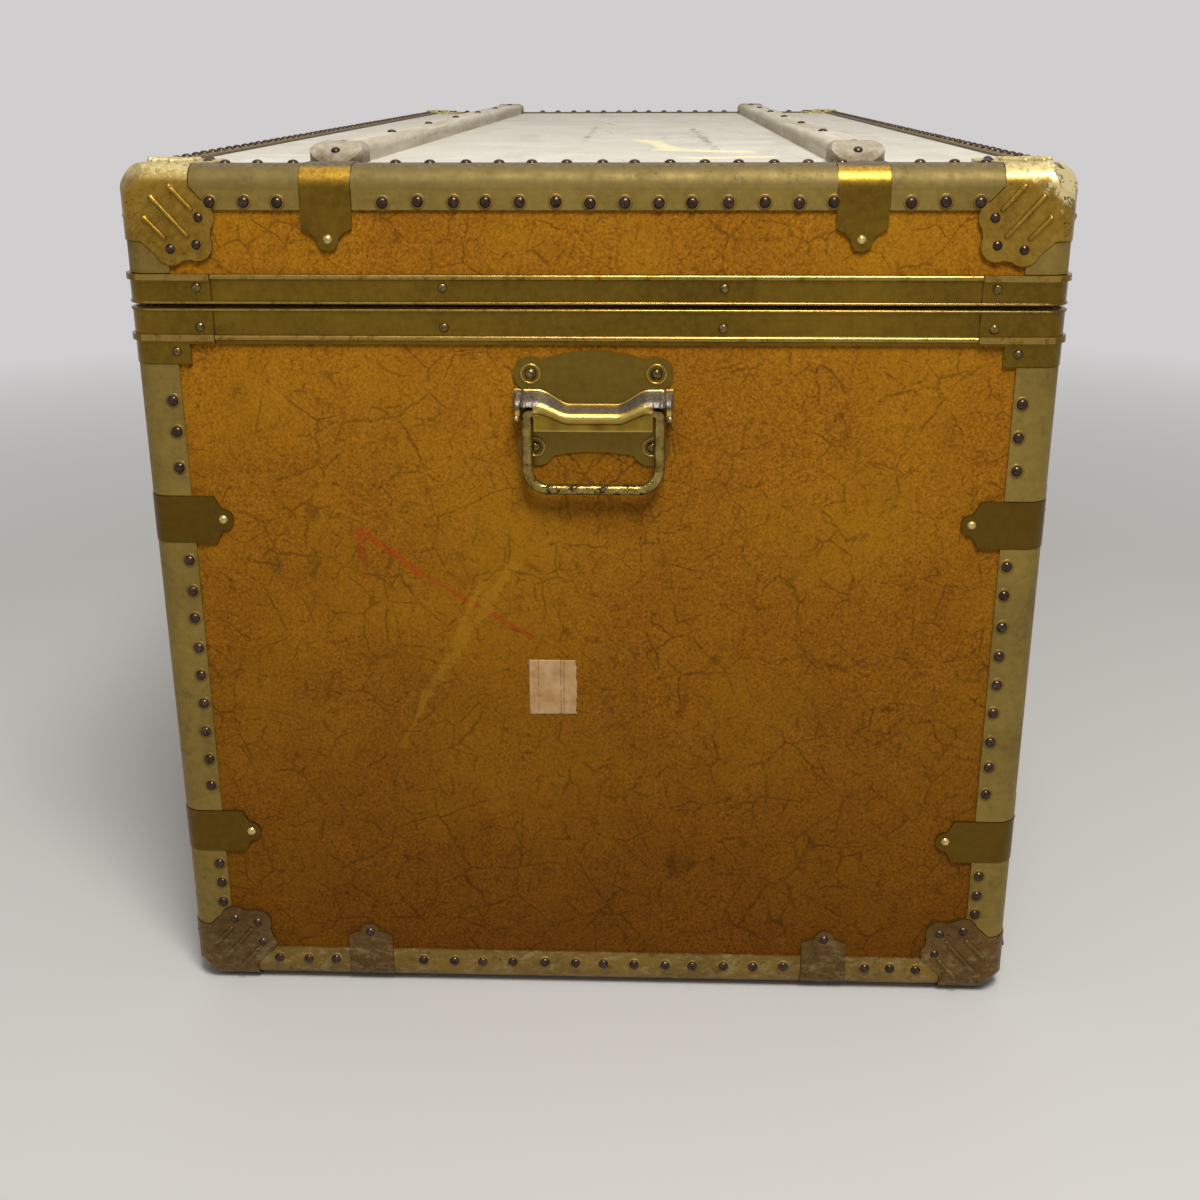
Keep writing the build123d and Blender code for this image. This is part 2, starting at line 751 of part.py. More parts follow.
def hasp(x, half):
    """A plate that hangs over the case, with a staple behind and a curled lip below."""
    plate = slab(x - half, x + half, hasp_back - hasp_t, hasp_back, hasp_low, hasp_z - hasp_neck)
    plate = fillet(plate.edges().filter_by(Axis.Y).group_by(Axis.Z)[0], hasp_corner_r)
    lip_half = half - hasp_corner_r - lobe_margin
    lip = along_x(x - lip_half, x + lip_half, hasp_back - hasp_t, hasp_low + hasp_lip_r, hasp_lip_r)
    inner = knuckle_half - fit_gap
    neck = slab(x - inner, x + inner, hasp_back - hasp_t, hasp_y, hasp_z - 2 * hasp_barrel_r, hasp_z)
    barrel = along_x(x - inner, x + inner, hasp_y, hasp_z, hasp_barrel_r)
    staple = slab(x - staple_half, x + staple_half, hasp_back, hasp_back + staple_reach, *staple_z)
    front_rim, end_rim = eye_rim
    eye = slab(x - channel_half, x + channel_half, hasp_back + front_rim,
               hasp_back + staple_reach - end_rim, *eye_z)
    arm = plate + lip + neck + barrel + (staple - eye)
    return arm - along_x(x - half, x + half, hasp_y, hasp_z, hasp_pin_r + pin_play)


def hasp_leaf(x):
    """The plate on the lid that carries a hasp between two knuckles."""
    plate = slab(x - leaf_half, x + leaf_half, face_y, face_y - leaf_t, lid_low + hasp_t, leaf_top)
    plate = fillet(plate.edges().filter_by(Axis.Y).group_by(Axis.Z)[-1], leaf_r)
    for way in (-1, 1):
        x0 = x + way * (knuckle_half + fit_gap)
        x1 = x + way * leaf_half
        post = slab(x0, x1, face_y, hasp_y, hasp_z, hasp_z + hasp_barrel_r)
        plate = plate + along_x(x0, x1, hasp_y, hasp_z, hasp_barrel_r) + post
    bore = along_x(x - leaf_half - past, x + leaf_half + past, hasp_y, hasp_z, hasp_pin_r)
    return plate - bore


lock_case = latch_case(latch_x[0], lock_half, case_low)
plug_hole = Pos(0, case_y, plug_z) * Rot(90, 0, 0) * Cylinder(plug_r + plug_play, 3 * case_wall)
bolt_x, bolt_y, bolt_h = bolt_size
bolt_tip = -channel_half + bolt_clear
eye_y = hasp_back + staple_reach / 2
lock_bolt = slab(bolt_tip - bolt_x, bolt_tip, eye_y - bolt_y / 2, eye_y + bolt_y / 2,
                 bolt_z - bolt_h / 2, bolt_z + bolt_h / 2)
guide_x = case_wall - lock_half
guide = slab(guide_x, -channel_half, eye_y - bolt_y / 2 - guide_wall, face_y,
             bolt_z - bolt_h / 2 - guide_wall, bolt_z + bolt_h / 2 + guide_wall)
bolt_way = slab(guide_x, -guide_x, eye_y - bolt_y / 2 - bolt_play, eye_y + bolt_y / 2 + bolt_play,
                bolt_z - bolt_h / 2 - bolt_play, bolt_z + bolt_h / 2 + bolt_play)
lock_case = (lock_case + guide) - bolt_way - plug_hole
plug_front = case_y - plug_tip
plug = Pos(0, plug_front + plug_length / 2, plug_z) * Rot(90, 0, 0) * Cylinder(plug_r, plug_length)
slot_w, slot_h, slot_d = key_slot_size
key_slot = slab(-slot_w / 2, slot_w / 2, plug_front - 1, plug_front + slot_d,
                plug_z - slot_h / 2, plug_z + slot_h / 2)
lock_plug = plug - key_slot

# Tray, its runners, the stay tapes and the label
tray_floor_board = slab(-tray_x, tray_x, -tray_y, tray_y, tray_low, tray_low + tray_floor)
tray_long = slab(-tray_x, tray_x, tray_y - tray_wall, tray_y, tray_low + tray_floor, tray_top)
tray_end = slab(tray_x - tray_wall, tray_x, -tray_y + tray_wall, tray_y - tray_wall,
                tray_low + tray_floor, tray_top)
tray_walls = [tray_long, mirror(tray_long, about=Plane.XZ), tray_end, mirror(tray_end, about=Plane.YZ)]
tray_divider = slab(-tray_wall / 2, tray_wall / 2, -tray_y + tray_wall, tray_y - tray_wall,
                    tray_low + tray_floor, tray_top - divider_drop)
pull_tab = slab(tray_x - tray_wall - tab_t, tray_x - tray_wall, -tab_half, tab_half,
                tray_top - tab_drop, tray_top + tab_rise)
tray_tabs = [pull_tab, mirror(pull_tab, about=Plane.YZ)]
runner = slab(-room_x + runner_in, room_x - runner_in, room_y - runner_d, room_y,
              tray_low - runner_h, tray_low)
tray_runners = [runner, mirror(runner, about=Plane.XZ)]


def stay_tape():
    """A tape folded in two on its way from the body to the lid, flat beside the end wall."""
    anchor_y = hinge_y - tape_r
    fold_y = hinge_y - tape_fold_r
    half = tape_w / 2
    shape = [(anchor_y - half, hinge_z - tape_drop), (anchor_y + half, hinge_z - tape_drop),
             (fold_y, hinge_z - tape_bight), (fold_y, hinge_z + tape_bight),
             (anchor_y + half, hinge_z + tape_drop), (anchor_y - half, hinge_z + tape_drop),
             (fold_y - tape_inner, hinge_z)]
    side = Plane(origin=(tape_x, 0, 0), x_dir=(0, 1, 0), z_dir=(1, 0, 0))
    return side * extrude(make_face(Polyline(*shape, close=True)), tape_t)


lid_nails = [four(head) for head in cap_nail_heads(cap_proud)] + clamp_nail_heads(on_top, top_clamp)
body_nails = [four(flipped(head)) for head in cap_nail_heads(cap_foot)[:6]]
body_nails += clamp_nail_heads(on_sides, side_clamp)
body_nails += clamp_nail_heads(on_base, foot_clamp, hooded=False)
right_tape = stay_tape()
paper_label = slab(skin_x, skin_x + label_t, *label_y, *label_z)

nodes = {
    "base_board": base_board,
    "body_front_board": body_front_board,
    "body_back_board": body_back_board,
    "body_end_boards": body_end_boards,
    "lid_top_board": lid_top_board,
    "lid_front_board": lid_front_board,
    "lid_back_board": lid_back_board,
    "lid_end_boards": lid_end_boards,
    "body_lining": body_lining,
    "lid_lining": lid_lining,
    "dust_lip": dust_lip,
    "lid_top_edging": lid_top_edging,
    "lid_corner_edging": lid_corner_edging,
    "body_corner_edging": body_corner_edging,
    "base_edging": base_edging,
    "lid_corner_caps": four(lid_cap),
    "base_corner_caps": four(base_cap),
    "lid_bands": lid_bands,
    "lid_band_corners": lid_band_corners,
    "body_bands": body_bands,
    "body_band_corners": body_band_corners,
    "lid_slats": [place * slat for place in on_top],
    "side_slats": [place * slat for place in on_sides],
    "base_slats": [place * base_slat for place in on_base],
    "lid_slat_clamps": clamps_at(on_top, top_clamp),
    "side_slat_clamps": clamps_at(on_sides, side_clamp),
    "base_slat_clamps": clamps_at(on_base, foot_clamp, hooded=False),
    "lid_nails": lid_nails,
    "body_nails": body_nails,
    "right_handle_plate": handle_plate,
    "right_handle_saddle": right_saddle,
    "right_handle_rivets": right_rivets,
    "right_bail": right_bail,
    "left_handle_plate": far_end(handle_plate),
    "left_handle_saddle": far_end(right_saddle),
    "left_handle_rivets": far_end(right_rivets),
    "left_bail": far_end(right_bail),
    "hinge_body_leaves": hinge_body_leaves,
    "hinge_lid_leaves": hinge_lid_leaves,
    "hinge_pins": hinge_pins,
    "lock_case": lock_case,
    "lock_bolt": lock_bolt,
    "lock_plug": lock_plug,
    "lock_hasp": hasp(latch_x[0], lock_hasp_half),
    "catch_cases": [latch_case(x, catch_half, catch_low) for x in latch_x[1:]],
    "left_catch_hasp": hasp(latch_x[1], catch_hasp_half),
    "right_catch_hasp": hasp(latch_x[2], catch_hasp_half),
    "hasp_leaves": [hasp_leaf(x) for x in latch_x],
    "hasp_pins": [along_x(x - leaf_half, x + leaf_half, hasp_y, hasp_z, hasp_pin_r) for x in latch_x],
    "tray_bottom": tray_floor_board,
    "tray_walls": tray_walls + [tray_divider],
    "tray_tabs": tray_tabs,
    "tray_runners": tray_runners,
    "right_stay_tape": right_tape,
    "left_stay_tape": far_end(right_tape),
    "paper_label": paper_label,
    "body_covering": covering(base_z + edge_r, body_top),
    "base_covering": covering(-past, base_z + edge_r),
    "lid_side_covering": covering(lid_low, top_z - edge_r),
    "lid_top_covering": covering(top_z - edge_r, top_z + past),
}

os.makedirs("parts", exist_ok=True)
for name, shape in nodes.items():
    pieces = solids(shape)
    model = pieces[0] if len(pieces) == 1 else Compound(children=pieces)
    export_step(model, f"parts/{name}.step")
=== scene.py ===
"""Looks of a steamer trunk: leatherette and canvas, lacquered steel edging, brass-plated fittings."""
import math

import bmesh
import bpy
import numpy as np
from bpy.props import FloatProperty, FloatVectorProperty, IntProperty, PointerProperty
from mathutils import Matrix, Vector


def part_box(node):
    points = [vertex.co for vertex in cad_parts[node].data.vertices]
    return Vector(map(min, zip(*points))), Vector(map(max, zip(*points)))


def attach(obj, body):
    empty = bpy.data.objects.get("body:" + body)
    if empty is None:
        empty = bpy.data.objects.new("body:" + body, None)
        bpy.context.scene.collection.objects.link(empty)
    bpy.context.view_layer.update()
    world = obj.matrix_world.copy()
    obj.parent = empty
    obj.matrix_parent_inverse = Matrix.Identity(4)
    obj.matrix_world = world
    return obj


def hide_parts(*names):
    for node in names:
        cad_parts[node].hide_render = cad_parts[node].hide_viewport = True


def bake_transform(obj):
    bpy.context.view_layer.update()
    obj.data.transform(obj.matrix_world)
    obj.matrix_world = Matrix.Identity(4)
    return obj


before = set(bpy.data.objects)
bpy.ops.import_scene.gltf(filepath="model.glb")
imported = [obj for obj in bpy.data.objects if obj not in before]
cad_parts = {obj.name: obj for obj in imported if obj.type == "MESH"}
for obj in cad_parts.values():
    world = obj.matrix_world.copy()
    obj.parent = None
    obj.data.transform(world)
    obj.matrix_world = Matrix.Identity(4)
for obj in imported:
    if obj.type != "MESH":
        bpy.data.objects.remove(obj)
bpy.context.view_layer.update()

bl_info = {
    "name": "Steamer trunk",
    "version": (1, 0, 0),
    "blender": (4, 5, 0),
    "location": "3D View > Sidebar > Trunk",
    "description": "Builds the fittings, finishes and studio of a steamer trunk round its frame",
    "category": "Object",
}

MM = 0.001
SEED = 41


def metres(*place):
    """A point in metres from millimetres."""
    return tuple(v * MM for v in place)


def span(node):
    """Lowest and highest corner of a frame node, in millimetres."""
    low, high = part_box(node)
    return np.array(low) / MM, np.array(high) / MM


def linear(code):
    """An sRGB hex colour as linear red, green, blue."""
    srgb = np.array([int(code[i:i + 2], 16) for i in (1, 3, 5)]) / 255
    bright = ((srgb + 0.055) / 1.055) ** 2.4
    return tuple(float(v) for v in np.where(srgb <= 0.04045, srgb / 12.92, bright))


# Outer faces of the edging and of the leatherette inside it, and places of the fittings
END_X, SIDE_Y, TOP_Z = span("lid_top_edging")[1]
BASE_Z = span("base_edging")[0][2]
SKIN_X, SKIN_Y = span("body_covering")[1][:2]
CAP_PROUD = span("lid_corner_caps")[1][0] - END_X
LID_BAND_Z = span("lid_bands")[0][2]
BODY_BAND_Z = span("body_bands")[1][2]
CORNER_PROUD = 0.6
PLATE_X = span("right_handle_plate")[1][0]
HINGE_AXIS = sum(span("hinge_pins")) / 2
TAPE_LOW, TAPE_HIGH = span("right_stay_tape")
LABEL_LOW, LABEL_HIGH = span("paper_label")
TAB_LOW, TAB_HIGH = span("tray_tabs")


def length_property(name, size, words):
    """A length that a user may change, written in millimetres."""
    return FloatProperty(name=name, description=words, default=size * MM, unit="LENGTH")


def colour_property(name, code, words):
    """A colour that a user may change, written as an sRGB hex value."""
    return FloatVectorProperty(name=name, description=words, subtype="COLOR", size=3, min=0, max=1,
                               default=linear(code))


class TrunkSizes(bpy.types.PropertyGroup):
    """Sizes of the small fittings."""

    tack_radius: length_property("Tack radius", 3.55, "Radius of an edging tack's head")
    tack_height: length_property("Tack height", 2.3, "How far a tack's head stands up")
    long_tacks: IntProperty(name="Tacks on a long edge", description="Tacks in one row along a long edge",
                            default=54, min=2)
    rib_radius: length_property("Rib radius", 1.7, "Half the width of a cap's pressed rib")
    swage_proud: length_property("Swage", 12.6, "How far the handle's pressed ridge stands out")
    sheet_metal: length_property("Sheet metal", 1.2, "Thickness of the handle's pressed sheet")


class TrunkColours(bpy.types.PropertyGroup):
    """Colours of the main finishes."""

    leatherette: colour_property("Leatherette", "#b37718", "Clean leatherette on the sides")
    canvas: colour_property("Canvas", "#cbc4b5", "Oiled canvas on the top")
    edging: colour_property("Edging", "#8a7231", "Lacquered steel edging")
    bands: colour_property("Bands", "#7c5f12", "Bands and straps at the closing line")
    caps: colour_property("Caps", "#9c7826", "Corner caps")
    clamps: colour_property("Clamps", "#735611", "Slat clamps")


def grid_quads(rows, columns, closed=False):
    """Quads of a grid of vertices counted row by row; closed joins the last column to the first."""
    across = columns if closed else columns - 1
    row, column = np.meshgrid(np.arange(rows - 1), np.arange(across), indexing="ij")
    corner = (row * columns + column).ravel()
    beside = (row * columns + (column + 1) % columns).ravel()
    return np.stack((corner, beside, beside + columns, corner + columns), -1)


def lathe(radii, heights, sides):
    """A closed turned shape: point (i, j) is (r_i cos t_j, r_i sin t_j, z_i), with a pole at each end."""
    turn = np.arange(sides) * 2 * np.pi / sides
    inner_r, inner_z = np.array(radii)[1:-1], np.array(heights)[1:-1]
    ring = np.stack((np.outer(inner_r, np.cos(turn)), np.outer(inner_r, np.sin(turn)),
                     np.repeat(inner_z[:, None], sides, 1)), -1).reshape(-1, 3)
    points = np.vstack((ring, (0, 0, heights[0]), (0, 0, heights[-1])))
    rows = len(inner_r)
    first, after = np.arange(sides), (np.arange(sides) + 1) % sides
    last = (rows - 1) * sides
    low = np.stack((after, first, np.full(sides, len(ring))), -1)
    high = np.stack((last + first, last + after, np.full(sides, len(ring) + 1)), -1)
    return points, grid_quads(rows, sides, closed=True).tolist() + low.tolist() + high.tolist()


def head_shape(radius, height, sides=12, rings=3, sink=0.4):
    """A nail head: r = R cos a and z = H sin a from a = 0 to 90 degrees, on a foot sunk below z = 0."""
    angle = np.linspace(0, np.pi / 2, rings + 1)
    radii = np.concatenate(([0, radius * 0.96], radius * np.cos(angle)))
    heights = np.concatenate(([-sink, -sink], height * np.sin(angle)))
    return lathe(radii, heights, sides)


def ring_shape(radius, thick, sides=28, steps=8):
    """A wire ring lying in z = 0: a circle of radius thick carried round a circle of radius radius."""
    turn = np.arange(sides) * 2 * np.pi / sides
    lean = np.arange(steps) * 2 * np.pi / steps
    reach = radius + thick * np.cos(lean)[None, :]
    points = np.stack((reach * np.cos(turn)[:, None], reach * np.sin(turn)[:, None],
                       thick * np.sin(lean)[None, :] + 0 * turn[:, None]), -1).reshape(-1, 3)
    quads = grid_quads(sides, steps, closed=True)
    here, last = np.arange(steps), (sides - 1) * steps
    after = (here + 1) % steps
    seam = np.stack((last + here, last + after, after, here), -1)
    return points, np.vstack((quads, seam)).tolist()


def placed(shape, places, outward):
    """Copies of a shape: a vertex goes to place + x u + y v + z n, n outward, u and v square to it."""
    points, faces = shape
    places, n = np.atleast_2d(places).astype(float), np.atleast_2d(outward).astype(float)
    n = np.broadcast_to(n, places.shape)
    helper = np.where(np.abs(n[:, 2:3]) < 0.9, (0.0, 0.0, 1.0), (1.0, 0.0, 0.0))
    u = np.cross(helper, n)
    u = u / np.linalg.norm(u, axis=1, keepdims=True)
    axes = np.stack((u, np.cross(n, u), n), 1)
    moved = places[:, None, :] + np.einsum("tk,pkc->ptc", points, axes)
    many = [[v + copy * len(points) for v in face] for copy in range(len(places)) for face in faces]
    return moved.reshape(-1, 3), many


def joined(shapes):
    """Several shapes as one list of points and one list of faces."""
    points, faces, start = [], [], 0
    for some, ring in shapes:
        points.append(some)
        faces += [[v + start for v in face] for face in ring]
        start += len(some)
    return np.vstack(points), faces


def thick_sheet(front, back):
    """A closed sheet between two grids of equal size: both grids, and a rim along their four edges."""
    rows, columns, _ = front.shape
    count = rows * columns
    quads = grid_quads(rows, columns)
    index = np.arange(count).reshape(rows, columns)
    rim = np.concatenate((index[0, :-1], index[:-1, -1], index[-1, :0:-1], index[:0:-1, 0]))
    after = np.roll(rim, -1)
    side = np.stack((after, rim, rim + count, after + count), -1)
    faces = np.vstack((quads, quads[:, ::-1] + count, side)).tolist()
    return np.vstack((front.reshape(-1, 3), back.reshape(-1, 3))), faces


def mirrored(shape):
    """The shape on the other side of the plane x = 0."""
    points, faces = shape
    return points * (-1, 1, 1), [face[::-1] for face in faces]


# The finishes by name, filled by the finishes operator
finishes = {}


def make_piece(name, shape, slot, body=None, finish=None):
    """A mesh object from points in millimetres; its finish is its slot's, unless another is named."""
    points, faces = shape
    mesh = bpy.data.meshes.new(name)
    mesh.from_pydata((np.asarray(points) * MM).tolist(), [], faces)
    work = bmesh.new()
    work.from_mesh(mesh)
    bmesh.ops.recalc_face_normals(work, faces=work.faces)
    work.to_mesh(mesh)
    work.free()
    mesh.polygons.foreach_set("use_smooth", [True] * len(mesh.polygons))
    mesh.materials.append(finishes[finish or slot])
    piece = bpy.data.objects.new(name, mesh)
    bpy.context.scene.collection.objects.link(piece)
    if body:
        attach(piece, body)
    return piece


def smooth_step(t):
    """3 t^2 - 2 t^3, held between 0 and 1."""
    t = np.clip(t, 0, 1)
    return t * t * (3 - 2 * t)


# Materials. Object coordinates are in metres, so a pattern of s millimetres has the scale 1000 / s.
# A colour is an sRGB hex code, or three linear numbers.


def put(tree, socket, value):
    """Gives a socket a link, a colour or a plain value."""
    if isinstance(value, bpy.types.NodeSocket):
        tree.links.new(value, socket)
    elif socket.type == "RGBA":
        socket.default_value = (*(linear(value) if isinstance(value, str) else value), 1)
    else:
        socket.default_value = value


def add(tree, kind, inputs=None, **settings):
    """Adds a node, sets its properties, and fills the sockets that are named."""
    made = tree.nodes.new("ShaderNode" + kind)
    for name, value in settings.items():
        setattr(made, name, value)
    for name, value in (inputs or {}).items():
        put(tree, made.inputs[name], value)
    return made


class Finish:
    """A material in the making: its node tree, its shader and the place of a point on the object."""

    def __init__(self, name):
        self.material = bpy.data.materials.new(name)
        self.material.use_nodes = True
        self.tree = self.material.node_tree
        self.shader = self.tree.nodes["Principled BSDF"]
        self.place = add(self.tree, "TexCoord").outputs["Object"]
        self.x, self.y, self.z = add(self.tree, "SeparateXYZ", {0: self.place}).outputs

    def noise(self, size, detail=4, rough=0.55, stretch=(1, 1, 1), warp=0.0, seed=0.0):
        """Soft noise whose features are size millimetres, drawn out along the axes by stretch."""
        scale = tuple(1 / s for s in stretch)
        place = add(self.tree, "Mapping", {"Vector": self.place, "Location": (seed, seed, seed),
                                           "Scale": scale}).outputs[0]
        return add(self.tree, "TexNoise", {"Vector": place, "Scale": 1000 / size, "Detail": detail,
                                           "Roughness": rough, "Distortion": warp}).outputs[0]

    def ramp(self, value, low, high, to_low=0.0, to_high=1.0):
        """Value carried from low..high to to_low..to_high and held there."""
        return add(self.tree, "MapRange", {"Value": value, "From Min": low, "From Max": high,
                                           "To Min": to_low, "To Max": to_high}).outputs[0]

    def spots(self, size, low, high, detail=4, rough=0.55, to=(0.0, 1.0), **noise):
        """Noise of this size, carried from low..high to the two values of to."""
        return self.ramp(self.noise(size, detail, rough, **noise), low, high, *to)

    def near_top(self, low, high, to=(0.0, 1.0), height=None):
        """A height in millimetres above the trunk's top, carried from low..high to the values of to."""
        height = self.z if height is None else height
        return self.ramp(height, (TOP_Z + low) * MM, (TOP_Z + high) * MM, *to)

    def math(self, operation, a, b=0.0, clamp=False):
        """Arithmetic on two values."""
        return add(self.tree, "Math", {0: a, 1: b}, operation=operation, use_clamp=clamp).outputs[0]

    def vector(self, operation, inputs, output=0):
        """Arithmetic on vectors; output 1 is the value of a distance, a length or a dot product."""
        return add(self.tree, "VectorMath", inputs, operation=operation).outputs[output]

    def times(self, a, b):
        """The product of two values."""
        return self.math("MULTIPLY", a, b)

    def more(self, value, mask, share):
        """Value raised by a share of the mask, up to 1."""
        return self.math("ADD", value, self.times(mask, share), clamp=True)

    def most(self, value, *others):
        """The greatest of several values."""
        for other in others:
            value = self.math("MAXIMUM", value, other)
        return value

    def frayed(self, value, reach, size, detail=4, rough=0.55, seed=0.0):
        """Value moved to and fro by noise, by up to reach."""
        moved = self.spots(size, 0.3, 0.7, detail, rough, (-reach, reach), seed=seed)
        return self.math("ADD", value, moved)

    def mix(self, share, a, b, way="MIX"):
        """Colour a with colour b laid on it by share."""
        return add(self.tree, "Mix", {0: share, 6: a, 7: b}, data_type="RGBA", blend_type=way).outputs[2]

    def lay(self, under, over, mask, share=None):
        """The colour under, covered by the colour over where the mask is, or by a share of it."""
        return self.mix(mask if share is None else self.times(mask, share), under, over)

    def creases(self, cell, width, keep, seed=0.0):
        """Short crease lines: the edges of cells of this size, slightly bent, kept where noise allows."""
        bend = add(self.tree, "TexNoise", {"Vector": self.place, "Scale": 1000 / (cell * 0.4),
                                           "Detail": 3.0, "Roughness": 0.6}).outputs["Color"]
        away = self.vector("SCALE", {0: bend, "Scale": cell * 0.2 * MM})
        place = self.vector("ADD", {0: self.place, 1: away})
        place = self.vector("ADD", {0: place, 1: (seed, seed, seed)})
        edge = add(self.tree, "TexVoronoi", {"Vector": place, "Scale": 1000 / cell},
                   feature="DISTANCE_TO_EDGE").outputs["Distance"]
        worn = self.times(self.noise(5, 4, 0.7, seed=seed + 1), 2.2 * width / cell)
        line = self.ramp(self.math("SUBTRACT", worn, edge), -0.2 * width / cell, 0.9 * width / cell)
        return self.times(line, self.spots(cell * 0.7, keep, keep + 0.12, 3, 0.6, seed=seed + 2))

    def stroke(self, start, end, width, fray):
        """A rubbed or drawn line: 1 within half its width in millimetres, with frayed edges."""
        a = np.array(start) * MM
        run = np.array(end) * MM - a
        from_a = self.vector("SUBTRACT", {0: self.place, 1: tuple(a)})
        share = self.vector("DOT_PRODUCT", {0: from_a, 1: tuple(run / (run @ run))}, 1)
        on_line = self.vector("SCALE", {0: tuple(run), "Scale": self.math("ADD", share, 0.0, clamp=True)})
        away = self.vector("DISTANCE", {0: from_a, 1: on_line}, 1)
        return self.ramp(self.frayed(away, fray * MM, 9), width * 0.3 * MM, width * 0.6 * MM, 1.0, 0.0)

    def strokes(self, *lines):
        """Several lines, each with its start, end, width and fray."""
        return self.most(*[self.stroke(*line) for line in lines])

    def bump(self, value, depth):
        """Relief of this depth in millimetres."""
        normal = add(self.tree, "Bump", {"Height": value, "Distance": depth * MM, "Strength": 1.0})
        self.set(normal=normal.outputs[0])

    def set(self, **values):
        """Fills sockets of the shader, named with underscores, and returns the material."""
        sockets = {socket.name.lower().replace(" ", "_"): socket for socket in self.shader.inputs}
        for name, value in values.items():
            put(self.tree, sockets[name], value)
        return self.material


def metal(name, colour, tarnish, light, rough=(0.3, 0.46), pits=0.0, dirt=0.0, scuff=0.0, rubbed=False,
          beads=False, worn_bend=0.0):
    """Sheet metal with a lacquer or thin plating: tarnish in clouds, mottle, streaks, pits and scuffs.

    Beads stand proud of the trunk's faces; they are rubbed and carry a painted highlight. A worn bend has
    lost some lacquer. Where it faces up on the lid, a rubbed finish has lost its colour to dust and to what
    was stacked on it.
    """
    f = Finish(name)
    colour = f.mix(f.spots(70, 0.3, 0.7, warp=0.4), tarnish, colour)
    colour = f.lay(colour, light, f.spots(5, 0.35, 0.7, 5, 0.65, seed=3.0), 0.3)
    streaks = f.spots(3.2, 0.52, 0.8, 3, 0.6, (0.0, 0.35), stretch=(9, 9, 1), seed=1.7)
    colour = f.lay(colour, tarnish, streaks)
    relief = f.noise(16, 3)
    value = f.spots(9, 0.3, 0.7, to=rough, seed=5.0)
    if beads:
        # Painted highlight, on rubbed beads: metal 0.8 mm or more proud of the faces is lightened in noisy
        # patches
        out = f.most(*[f.math("SUBTRACT", f.math("ABSOLUTE", place), reach * MM)
                       for place, reach in ((f.x, END_X), (f.y, SIDE_Y))])
        bright = f.times(f.ramp(out, 0.8 * MM, 1.4 * MM), f.spots(7, 0.36, 0.5, 6, 0.8))
        colour = f.lay(colour, "#a08341", bright, 0.8)
    if worn_bend:
        bend = f.times(f.near_top(-15, -9), worn_bend)
        bend = f.times(bend, f.spots(6, 0.3, 0.6, 6, 0.8, (0.6, 1.0), stretch=(1, 1, 3), seed=35.0))
        colour = f.lay(colour, "#5d5029", bend)
        value = f.more(value, bend, 0.12)
    if rubbed:
        over = f.near_top(-2.0, -0.6, height=f.frayed(f.z, 1.4 * MM, 7, 5, 0.7, 31.0))
        dull = f.lay("#7b6f5c", "#54472f", f.spots(4, 0.4, 0.62, 6, 0.8, seed=14.0))
        colour = f.lay(colour, dull, over, 0.85)
        value = f.more(value, over, 0.15)
    if scuff:
        worn = f.times(f.spots(7, 0.5, 0.62, 8, 0.85, stretch=(2, 2, 1), seed=8.0),
                       f.ramp(f.z, 0.03, 0.05, scuff, 0.0))
        colour = f.lay(colour, "#a8966a", worn)
        value = f.more(value, worn, 0.2)
    if dirt:
        grime = f.times(f.spots(11, 0.56, 0.64, 7, 0.8, seed=12.0), dirt)
        colour = f.lay(colour, "#2c2013", grime)
        value = f.more(value, grime, 0.25)
    if pits:
        dots = f.times(f.spots(26, 0.42, 0.6, seed=2.0), f.spots(1.7, 0.60, 0.66, 3, 0.7, seed=9.0))
        hole = f.times(dots, pits)
        colour = f.lay(colour, "#1d140b", hole)
        value = f.more(value, hole, 0.4)
        relief = f.math("SUBTRACT", relief, f.times(hole, 0.3))
    f.bump(relief, 0.3)
    return f, colour, value


def sheet_metal(*words, metallic=0.8, **more):
    """A metal finish with nothing added to it."""
    f, colour, value = metal(*words, **more)
    return f.set(base_color=colour, metallic=metallic, roughness=value)


def cap_plate(colours):
    """Pressed cap of brass-plated steel: gold lacquer with a painted highlight over its top rounding, the
    corners at +Y knocked bare.
    """
    f, colour, value = metal("Pressed brass-plated cap", colours.caps, "#7d5c15", "#c9a94f", (0.26, 0.42),
                             pits=0.9, dirt=0.3, rubbed=True)
    # Painted highlight: pale gold patches over the cap's upper rounding and top, from 9 mm below the top
    # upwards
    bend = f.times(f.near_top(-9, -3.5), f.spots(4, 0.35, 0.55, 6, 0.8, (0.15, 0.75), seed=37.0))
    colour = f.lay(colour, "#e6d290", bend)
    gaps = [f.math("SUBTRACT", reach * MM, place) for place, reach in (
        (f.math("ABSOLUTE", f.x), END_X), (f.math("ABSOLUTE", f.y), SIDE_Y), (f.z, TOP_Z))]
    gaps = add(f.tree, "CombineXYZ", dict(enumerate(gaps))).outputs[0]
    away = f.frayed(f.vector("LENGTH", {0: gaps}, 1), 9 * MM, 12, 6, 0.75, 23.0)
    knocked = f.ramp(away, 20 * MM, 24 * MM, 1.0, 0.0)
    bare = f.times(knocked, f.ramp(f.y, 0.0, 0.1))
    colour = f.lay(colour, "#f0dca0", bare, 0.85)
    black = f.times(bare, f.spots(9, 0.53, 0.56, 5, 0.7, warp=0.6, seed=27.0))
    colour = f.lay(colour, "#33291c", black, 0.9)
    return f.set(base_color=colour, metallic=0.85, roughness=value)


